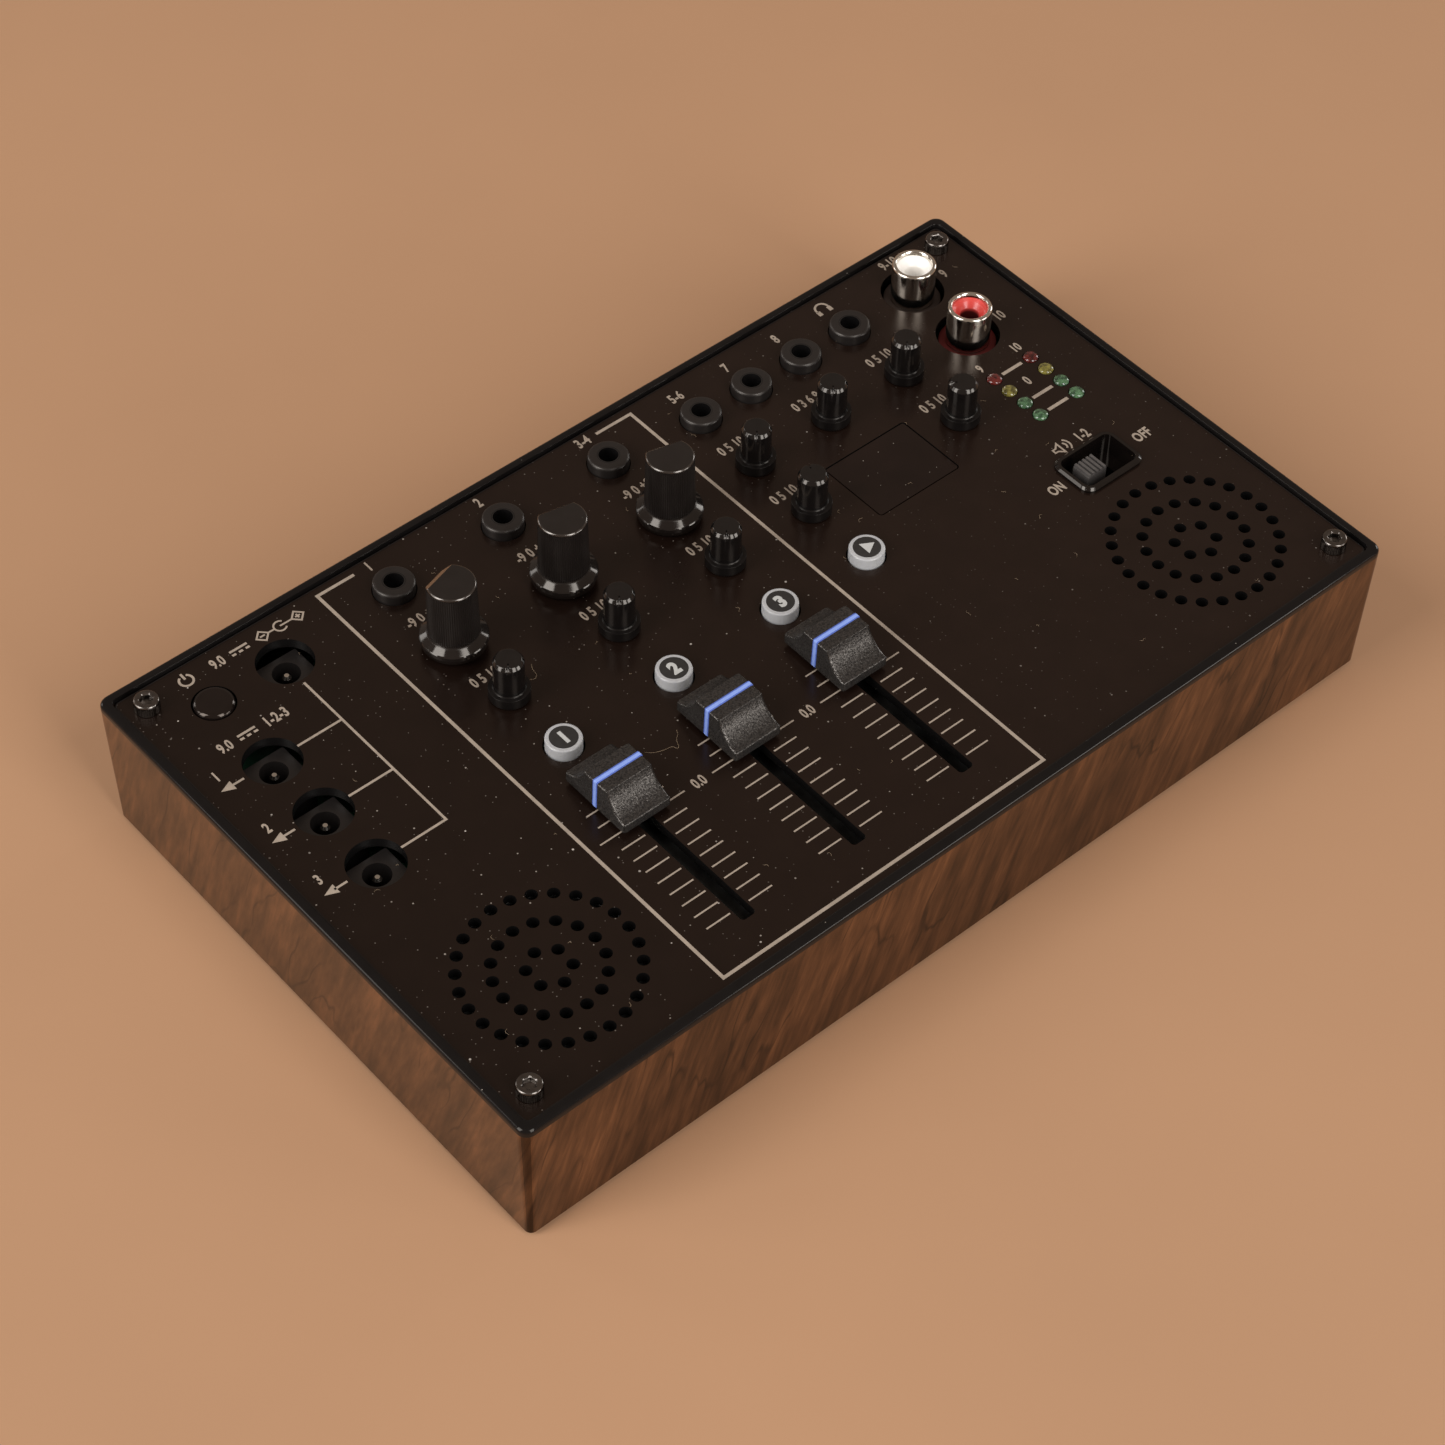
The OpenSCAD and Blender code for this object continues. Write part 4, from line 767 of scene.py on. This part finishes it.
# %% Meter lamps
METER_X = (74.0, 83.2)
RED_Y, YELLOW_Y, GREEN_Y = 17.9, 13.9, (9.84, 5.81)
DOME_R, DOME_FOOT, DOME_RISE = 1.42, 0.05, 0.62
METER = [("red_lamps", "lamp_red", [RED_Y]), ("yellow_lamps", "lamp_yellow", [YELLOW_Y]),
         ("green_lamps", "lamp_green", GREEN_Y)]
arc = [(DOME_R * cos(a), DOME_FOOT + DOME_RISE * sin(a)) for a in np.linspace(0, pi / 2, 10)[:-1]]
for node, slot, rows in METER:
    low = foot_of(node)
    bead = np.array([(0, low), (DOME_R, low), *arc, (0, DOME_FOOT + DOME_RISE)]) * MM
    domes = [turned(bead, (x * MM, y * MM, PANEL_TOP), 40) for x in METER_X for y in rows]
    stand_in(node, f"{node}_domes", domes, "chassis", 40)
print("meter lamps 8")

# %% [markdown]
# The power button is a low black cap with a broad rounding.

# %% Power button
x, y, top_z = middle_of("power_button")
low, high = foot_of("power_button"), (top_z - PANEL_TOP) / MM
cap_profile = [(0, low, 0), (1.7, low, 0), (1.7, -1.8, 0), (3.6, -1.8, 0), (3.6, high, 0.95), (2.6, high, 0),
               (0, high, 0)]
shell = turned(fillet(cap_profile, 10) * MM, (x, y, PANEL_TOP), 96)
stand_in("power_button", "power_button_cap", [shell], "power_button", 40)
print("power button 1")

# %% [markdown]
# The rim is one smooth moulding: its outer edge is a quarter round, its inner
# edge a finer one. The panel's own edge is rolled over too, and the two show as
# hair lines of light with the dark gap between them.

# %% Rim and panel edge
def frame_rows(box, section):
    """Rounded rectangles one above the other: the row (a, r, z) lies a inside the box, its corners have
    radius r, its height is z."""
    lo, hi = box
    rows = []
    for a, r, z in section:
        x0, y0, x1, y1 = lo.x + a, lo.y + a, hi.x - a, hi.y - a
        ring = fillet([(x0, y0, r), (x1, y0, r), (x1, y1, r), (x0, y1, r)], 10, True)
        rows.append(np.column_stack([ring, np.full(len(ring), z)]))
    return np.stack(rows), grid_faces(len(rows), len(rows[0]), True, True)


rim_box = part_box("top_rim")
rim_low, rim_high = rim_box[0].z, rim_box[1].z
outer_r, inner_r, across, soft, fine = 2.0 * MM, 1.3 * MM, 1.75 * MM, 0.8 * MM, 0.14 * MM
bends = [(soft * (1 - cos(a)), rim_high - soft * (1 - sin(a))) for a in np.linspace(0, pi / 2, 10)]
bends += [(across - fine * (1 - sin(a)), rim_high - fine * (1 - cos(a))) for a in np.linspace(0, pi / 2, 6)]
section = [(a, outer_r + (inner_r - outer_r) * a / across, z) for a, z in [(0, rim_low), *bends, (across, rim_low)]]
stand_in("top_rim", "rim_moulding", [frame_rows(rim_box, section)], "chassis", 60)
bead_r, edge_middle, edge_r = 0.13 * MM, PANEL_TOP - 0.09 * MM, 1.0 * MM
section = [(bead_r * (1 + cos(a)), edge_r, edge_middle + bead_r * sin(a))
           for a in np.linspace(0, 2 * pi, 12, endpoint=False)]
edge_rows = frame_rows(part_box("top_panel"), section)
piece("panel_edge", [edge_rows], "chassis", rim_gloss, 60)
print("rim and panel edge 2")

# %% [markdown]
# The print is thin ink, a few hundredths of a millimetre high. It is modelled
# as real bars rather than painted in the material, so its edges stay sharp at
# any zoom. Words are left out: the places that hold them on such a mixer carry
# plain numbers and common symbols here.

# %% Print: frame, links and scales
print_ink = finish("print_ink", (0.318, 0.260, 0.206), (0.42, 0.55), 0.12, 0.0012)
INK_LOW, INK_HIGH, HAIR = PANEL_TOP - 0.01 * MM, PANEL_TOP + 0.025 * MM, 0.0015 * MM
CHANNELS = (-42.1, -18.1, 5.9)
OUTLETS = (28.3, 14.15, 0.0)
TICKS, TICK_BACK, TICK_STEP, LONG_TICK = 11, -14.4, 3.02, 2
TICK_START, TICK_REACH, LONG_REACH = 2.0, 6.95, 9.0


def ink(paths, width):
    """Flat bars along several open or closed paths given in millimetres; each one a hair higher than the
    last, so that crossing bars never share a face."""
    shells = []
    for k, path in enumerate(paths):
        path = np.asarray(path, float)
        closed = len(path) > 2 and np.allclose(path[0], path[-1])
        half, high = width * MM / 2, INK_HIGH + (k % 7) * HAIR
        section = [(-half, INK_LOW), (half, INK_LOW), (half, high), (-half, high)]
        shells.append(rail((path[:-1] if closed else path) * MM, section, closed))
    return shells


def wedge(corners, low, high):
    """A flat triangle of ink, its three corners in millimetres."""
    points = np.column_stack([np.tile(np.array(corners) * MM, (2, 1)), np.repeat([low, high], 3)])
    return points, [[0, 2, 1], [3, 4, 5], [0, 1, 4, 3], [1, 2, 5, 4], [2, 0, 3, 5]]


def printed(name, shells, crease=35):
    return piece(f"print_{name}", shells, "chassis", print_ink, crease)


outline = [(-45.4, 53.6), (-53.3, 53.6), (-53.3, -53.7), (17.0, -53.7), (17.0, 53.6), (8.9, 53.6)]
printed("outline", ink([outline], 0.62))
links = [[(-66.9, 39.0), (-66.9, 0.0), (-76.1, 0.0)], [(-67.1, 28.3), (-76.1, 28.3)], [(-67.1, 14.15), (-76.1, 14.15)]]
printed("power_links", ink(links, 0.45))
arrows = ink([[(-87.0, y), (-89.6, y)] for y in OUTLETS], 0.42)
arrows += [wedge([(-91.6, y), (-89.2, y - 1.05), (-89.2, y + 1.05)], INK_LOW, INK_HIGH + 0.003 * MM) for y in OUTLETS]
printed("arrows", arrows)
for i, x in enumerate(CHANNELS):
    ticks = []
    for k in range(TICKS):
        y = TICK_BACK - TICK_STEP * k
        reach = LONG_REACH if k == LONG_TICK else TICK_REACH
        ticks += [[(x - reach, y), (x - TICK_START, y)], [(x + TICK_START, y), (x + reach, y)]]
    printed(f"scale_{i + 1}", ink(ticks, 0.29))
printed("meter", ink([[(76.0, y), (80.9, y)] for y in (RED_Y, *GREEN_Y)], 0.7))

# %% [markdown]
# The symbols are the standard ones: power, direct current, polarity, headphones
# and a loudspeaker. Each is a handful of short paths.

# %% Print: symbols
def direct_current(x, y):
    """A long bar over three short ones, the sign for direct current."""
    bars = [(x, y + 0.45, 3.6)] + [(x + a, y - 0.45, 0.8) for a in (0, 1.4, 2.8)]
    return [[(start, level), (start + length, level)] for start, level, length in bars]


def diamond(x, y, r):
    return [(x - r, y), (x, y + r), (x + r, y), (x, y - r), (x - r, y)]


ROW = 52.1
MINUS_X, PLUS_X, CENTRE_X = -66.0, -58.6, -62.3
power_sign = [circle_path(-81.8, ROW, 1.25, 120, 420), [(-81.8, 53.9), (-81.8, 52.4)]]
level = [(-64.75, -63.45), (CENTRE_X, -59.85), (MINUS_X - 0.5, MINUS_X + 0.5), (PLUS_X - 0.5, PLUS_X + 0.5)]
polarity = [diamond(MINUS_X, ROW, 1.25), diamond(PLUS_X, ROW, 1.25), circle_path(CENTRE_X, ROW, 1.15, 40, 320),
            *([(start, ROW), (end, ROW)] for start, end in level), [(PLUS_X, ROW + 0.5), (PLUS_X, ROW - 0.5)]]
headphones = [circle_path(62.4, 52.3, 1.35, -15, 195)]
headphones_pads = [[(61.15, 52.1), (61.15, 50.9)], [(63.65, 52.1), (63.65, 50.9)]]
loudspeaker = [[(69.2, -2.3), (69.9, -2.3), (70.9, -1.4), (70.9, -4.0), (69.9, -3.1), (69.2, -3.1), (69.2, -2.3)],
               circle_path(71.2, -2.7, 0.95, -50, 50, 9), circle_path(71.2, -2.7, 1.75, -50, 50, 11)]
printed("power_sign", ink(power_sign, 0.42))
printed("current_signs", ink(direct_current(-72.6, ROW) + direct_current(-82.6, 35.9), 0.46))
printed("polarity", ink(polarity, 0.33))
printed("headphones", ink(headphones, 0.42) + ink(headphones_pads, 0.85))
printed("loudspeaker", ink(loudspeaker, 0.34))
print("symbols done")

# %% [markdown]
# Figures come from Blender's own letter shapes: a text object is turned into a
# mesh first, then narrowed, and put down point by point, so the finished piece
# has no turn or scale of its own.

# %% Print: figures
def figures(body, height, x, y, low, high, narrow=0.66, weight=0.030):
    """Letter shapes made a mesh, centred on x, y in millimetres; z goes from low to high in metres."""
    curve = bpy.data.curves.new("figures", "FONT")
    curve.body, curve.size, curve.offset = body, 1.0, weight
    curve.extrude, curve.space_character = 0.5, 1.06
    curve.resolution_u = 3
    text = bpy.data.objects.new("figures", curve)
    bpy.context.scene.collection.objects.link(text)
    shape = bpy.data.meshes.new_from_object(text.evaluated_get(bpy.context.evaluated_depsgraph_get()))
    points = np.empty(len(shape.vertices) * 3)
    shape.vertices.foreach_get("co", points)
    points = points.reshape(-1, 3)
    faces = [list(p.vertices) for p in shape.polygons]
    bpy.data.objects.remove(text)
    bpy.data.curves.remove(curve)
    bpy.data.meshes.remove(shape)
    lo, hi = points.min(0), points.max(0)
    grow = height * MM / (hi[1] - lo[1])
    points[:, 0] = x * MM + (points[:, 0] - (lo[0] + hi[0]) / 2) * grow * narrow
    points[:, 1] = y * MM + (points[:, 1] - (lo[1] + hi[1]) / 2) * grow
    points[:, 2] = np.where(points[:, 2] > 0, high, low)
    return points, faces


FIGURES = {
    "channel_numbers": [("1", 2.4, -42.3, 53.6), ("2", 2.4, -18.1, 53.6), ("3-4", 2.4, 5.8, 53.6)],
    "outlet_numbers": [("1", 2.3, -90.4, 31.5), ("2", 2.3, -90.4, 17.3), ("3", 2.3, -90.4, 3.3),
                       ("9.0", 2.4, -75.4, 52.1), ("9.0", 2.4, -85.4, 35.9), ("1-2-3", 2.4, -74.9, 35.9)],
    "fader_zeros": [("0.0", 2.3, -30.0, -20.4), ("0.0", 2.3, -6.0, -20.4)],
    "knob_ranges": [*(("-9 0 +9", 2.4, x - 0.3, 38.2) for x in CHANNELS),
                    *(("0 5 10", 2.4, x - 0.6, 20.5) for x in CHANNELS + (25.4, 61.6)),
                    ("0 5 10", 2.4, 25.6, 35.7), ("0 3 6 9", 2.4, 43.6, 35.7), ("0 5 10", 2.4, 61.6, 35.7)],
    "jack_numbers": [("5-6", 2.4, 26.1, 51.7), ("7", 2.4, 38.1, 51.7), ("8", 2.4, 50.2, 51.7),
                     ("9-10", 2.4, 80.4, 53.7), ("9", 2.4, 86.5, 45.0), ("10", 2.4, 86.7, 29.9)],
    "meter_numbers": [("0", 2.4, 78.4, 13.9), ("9", 2.2, 73.8, 21.6), ("10", 2.2, 83.0, 21.6)],
    "switch_states": [("ON", 2.4, 63.0, -9.6), ("OFF", 2.4, 84.5, -9.6), ("1-2", 2.4, 76.3, -2.7)],
}
for name, rows in FIGURES.items():
    printed(name, [figures(*row, INK_LOW, INK_HIGH) for row in rows], None)
print("figures done")

# %% [markdown]
# Each fader cap carries a blue line, inlaid across its top and down both sides
# so that it reads from any seat. Its cross-section is a flat lozenge carried
# along the cap's outline, with rounded turns at the two top edges.

# %% Blue lines on the fader caps
line_blue = finish("line_blue", (0.235, 0.345, 0.76), (0.34, 0.44), 0.07, 0.001)
line_edge = finish("line_edge", (0.085, 0.140, 0.47), (0.34, 0.44), 0.07, 0.001)
HALF_LOW, HALF_TOP = 5.0 * MM, 4.8 * MM


def cap_line(x, y, low, top_z, width, proud):
    """The path goes up one leaning side, over the flat top and down the other; the section is a bar
    `width` across along y and reaches from just inside the cap to `proud` outside it."""
    side = np.array([[-HALF_LOW, low], [-HALF_TOP, top_z - 0.15 * MM]])
    turn = np.array([[-HALF_TOP + 0.04 * MM, top_z - 0.04 * MM], [-HALF_TOP + 0.15 * MM, top_z]])
    path = np.concatenate([side, turn, turn[::-1] * (-1, 1), side[::-1] * (-1, 1)])
    way = np.gradient(path, axis=0)
    way /= np.linalg.norm(way, axis=1, keepdims=True)
    out = np.stack([-way[:, 1], way[:, 0]], 1)
    bar = [(-0.1 * MM, -1), (proud * 0.4, -1), (proud, -0.8), (proud, 0.8), (proud * 0.4, 1), (-0.1 * MM, 1)]
    rings = []
    for depth, across in bar:
        spot = path + out * depth
        rings.append(np.column_stack([x + spot[:, 0], np.full(len(path), y + across * width / 2), spot[:, 1]]))
    return np.stack(rings, 1), tube_faces(len(path), len(bar))


for i in (1, 2, 3):
    lo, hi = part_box(f"fader_cap_{i}")
    middle = (lo + hi) / 2
    for part, width, proud, paint in (("edges", 1.14, 0.05, line_edge), ("core", 0.74, 0.07, line_blue)):
        shell = cap_line(middle.x, middle.y, lo.z + 0.12 * MM, hi.z, width * MM, proud * MM)
        piece(f"cap_line_{part}_{i}", [shell], f"fader_{i}", paint, None)
print("blue lines done")

# %% [markdown]
# A lit button is a milky cylinder whose top holds a black disc with a sign in
# it, so that only the ring and the sign glow. The disc is a very flat turned
# shape, and the sign is a separate inlay on it.

# %% Button discs and signs
disc_black = finish("disc_black", (0.020, 0.0185, 0.0175), (0.42, 0.52), 0.15, 0.0008, 0.000006, 0.00015)
sign_milky = finish("sign_milky", (0.47, 0.47, 0.455), (0.4, 0.5), 0.05, 0.001)
SIGN_OF = {"mute_button_1": "1", "mute_button_2": "2", "mute_button_3": "3", "play_button": None}
DISC = [(0, -0.05), (2.5, -0.05), (2.5, 0.012), (2.44, 0.03), (0, 0.03)]
SIGN_HEIGHT = 0.045 * MM
for node, sign in SIGN_OF.items():
    x, y, z = middle_of(node)
    low, high = foot_of(node), (z - PANEL_TOP) / MM
    profile = [(0, low, 0), (1.7, low, 0), (1.7, -1.5, 0), (3.26, -1.5, 0), (3.22, high, 0.32), (0, high, 0)]
    shell = turned(fillet(profile, 8) * MM, (x, y, PANEL_TOP), 72)
    stand_in(node, f"{node}_moulding", [shell], node, 40)
    shell = turned(np.array(DISC) * MM, (x, y, z), 64)
    piece(f"{node}_disc", [shell], node, disc_black)
    if sign:
        shape = figures(sign, 2.9, x / MM, y / MM, z, z + SIGN_HEIGHT, 0.9, 0.06)
    else:
        shape = wedge(circle_path(x / MM + 0.15, y / MM, 1.62, 0, 360, 3), z, z + SIGN_HEIGHT)
    piece(f"{node}_sign", [shape], node, sign_milky, None)
print("buttons", len(SIGN_OF))

# %% [markdown]
# The four panel screws stand proud of the panel, so their knurled heads and hex
# sockets are easy to see. Head, knurl, socket and shank are one profile turned
# round the axis: the knurl is a ripple in the radius with the angle, and inside
# the socket the radius follows a hexagon instead of a circle.

# %% Knurled screws
KNURLS, KNURL_DEPTH, HEAD_R = 44, 0.035, 2.25


def screw(x, y, spin):
    """r(u, t): on the head's side r times 1 - 0.035 |sin 22 t|; in the socket r / cos(t folded into
    the nearest sixth), which is a hexagon; elsewhere a plain circle."""
    shank = [(0, -8.0), (1.0, -8.0), (1.2, -7.6)]
    for z in np.arange(-7.4, -0.6, 0.45):
        shank += [(1.24, z), (1.05, z + 0.225)]
    shank += [(1.2, 0.0), (2.1, 0.0)]
    knurl = [(HEAD_R - 0.01, 0.12), *((HEAD_R, z) for z in (0.5, 1.0, 1.5, 1.95))]
    crown = [(2.2, 2.14), (2.14, 2.30), (2.04, 2.41), (1.9, 2.47), (1.75, 2.5), (1.5, 2.5), (1.36, 2.48)]
    socket = [(1.06, 2.34), (1.0, 2.24), (1.0, 1.3), (0.6, 1.2), (0, 1.05)]
    profile = np.array(shank + knurl + crown + socket)
    ribbed = len(shank)
    smooth = ribbed + len(knurl)
    hexed = smooth + len(crown)

    def wobble(u, t):
        knurled = 1 - KNURL_DEPTH * np.abs(np.sin(KNURLS / 2 * t))
        six_sided = 1 / np.cos((t + pi / 6) % (pi / 3) - pi / 6)
        out = np.where((u >= ribbed) & (u < smooth), knurled, 1.0)
        return np.where((u >= hexed) & (u < hexed + 3), six_sided, out)

    points, faces = turned(profile * MM, (0, 0, 0), 132, wobble)
    return placed(points, spin, x, y, PANEL_TOP, 1.0), faces


lo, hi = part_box("panel_screws")
head = HEAD_R * MM
spots = [(x, y) for x in (lo.x + head, hi.x - head) for y in (lo.y + head, hi.y - head)]
shells = [screw(*spot, spin) for spot, spin in zip(spots, (0.3, 1.1, 0.7, 0.1))]
screws = stand_in("panel_screws", "knurled_screws", shells, "chassis", 28)
print("screw faces", len(screws.data.polygons))

# %% [markdown]
# Every 3.5 mm jack has a polished lining in its bore. It is what catches the two
# lamps as small bright spots just inside the hole.

# %% Jack linings
def lining(x, y, top_z):
    """A thin tube, r from 1.785 mm to 2.1 mm, with a quarter-round lip at the top."""
    lip = [(2.0 + 0.215 * cos(a), -0.17 + 0.2 * sin(a)) for a in np.linspace(pi / 2, pi, 7)]
    profile = [(2.1, -6.0), (2.1, 0.01), *lip, (1.785, -6.0)]
    return turned(np.array(profile) * MM, (x * MM, y * MM, top_z), 40)


collar_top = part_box("channel_jacks")[1].z
jack_spots = [(x, 46.4) for x in CHANNELS] + [(26 + 12.07 * k, 44.5) for k in range(4)]
linings = [lining(x, y, collar_top) for x, y in jack_spots]
piece("jack_linings", linings, "chassis", jack_gloss)
print("linings", len(jack_spots))

# %% [markdown]
# A few loose fibres lie on the panel, as they do on any black thing that has
# been used. Each is a thin tube carried along a wandering curve.

# %% Lint
lint_fibre = finish("lint_fibre", (0.30, 0.215, 0.135), (0.5, 0.7), 0.2, 0.001)
rng = np.random.default_rng(7)
LOOSE_FIBRES, BEND = 46, 0.8


def fibre(path, radius, sides=5):
    """A five-sided tube round a path; each ring stands square to the path's direction."""
    way = np.gradient(path, axis=0)
    way /= np.linalg.norm(way, axis=1, keepdims=True)
    side = np.cross(way, [0, 0, 1.0])
    side /= np.linalg.norm(side, axis=1, keepdims=True)
    upward = np.cross(side, way)
    a = np.linspace(0, 2 * pi, sides, endpoint=False)[None, :, None]
    taper = np.sin(np.linspace(0.15, pi - 0.15, len(path)))[:, None, None] ** 0.3
    rings = path[:, None] + radius * taper * (np.cos(a) * side[:, None] + np.sin(a) * upward[:, None])
    return rings, tube_faces(len(path), sides)


def curl(x, y, length, heading, steps=8):
    """Heading turns by a slow sine and a little chance; the path adds up its steps."""
    s = np.linspace(0, 1, steps)
    swing = np.sin(2 * pi * s * rng.uniform(0.5, 1.3) + rng.uniform(0, 6))
    angle = heading + BEND * swing + np.cumsum(rng.normal(0, 0.12, steps))
    step = length / steps * MM
    return np.stack([x * MM + np.cumsum(np.cos(angle)) * step, y * MM + np.cumsum(np.sin(angle)) * step,
                     PANEL_TOP + (0.06 + 0.12 * np.sin(pi * s) ** 2) * MM], 1)


def strand(spots, radius, steps=48):
    """A smooth path through given x, y points: points spaced evenly along the broken line, then each one
    averaged with its neighbours."""
    spots = np.array(spots)
    along = np.concatenate([[0], np.cumsum(np.linalg.norm(np.diff(spots, axis=0), axis=1))])
    s = np.linspace(0, along[-1], steps)
    flat = np.stack([np.interp(s, along, spots[:, k]) for k in (0, 1)], 1)
    padded = np.concatenate([flat[:1], flat[:1], flat, flat[-1:], flat[-1:]])
    flat = sum(padded[k:k + steps] for k in range(5)) / 5
    lift = 0.04 + 0.10 * np.sin(np.linspace(0, pi, steps)) ** 2
    return fibre(np.column_stack([flat * MM, PANEL_TOP + lift * MM]), radius)


HAIR_BY_KNOB = [(-34.8, 17.7), (-35.4, 16.8), (-35.6, 15.9), (-35.8, 15.0), (-36.4, 14.6), (-37.0, 14.8), (-37.5, 15.2)]
HAIR_BY_CAP = [(-25.3, -9.3), (-25.7, -9.5), (-25.8, -10.3), (-26.8, -10.9), (-27.3, -11.7), (-27.7, -12.8),
               (-28.2, -12.9), (-28.4, -11.8), (-29.5, -11.7), (-30.6, -11.4), (-31.7, -10.9), (-32.9, -9.8)]
fibres = [strand(HAIR_BY_KNOB, 0.030 * MM), strand(HAIR_BY_CAP, 0.026 * MM)]
for _ in range(LOOSE_FIBRES):
    x, y = rng.uniform(-91, 90), rng.uniform(-52, 52)
    fibres.append(fibre(curl(x, y, rng.uniform(0.6, 1.8), rng.uniform(0, 6.3)), 0.02 * MM))
piece("lint", fibres, "chassis", lint_fibre, None)
print("fibres", len(fibres))

# %% Sizes and finish
size = {"cad": [list(map(float, corner)) for corner in cad_box],
        "visual": [list(map(float, corner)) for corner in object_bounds()]}
print("size", size)
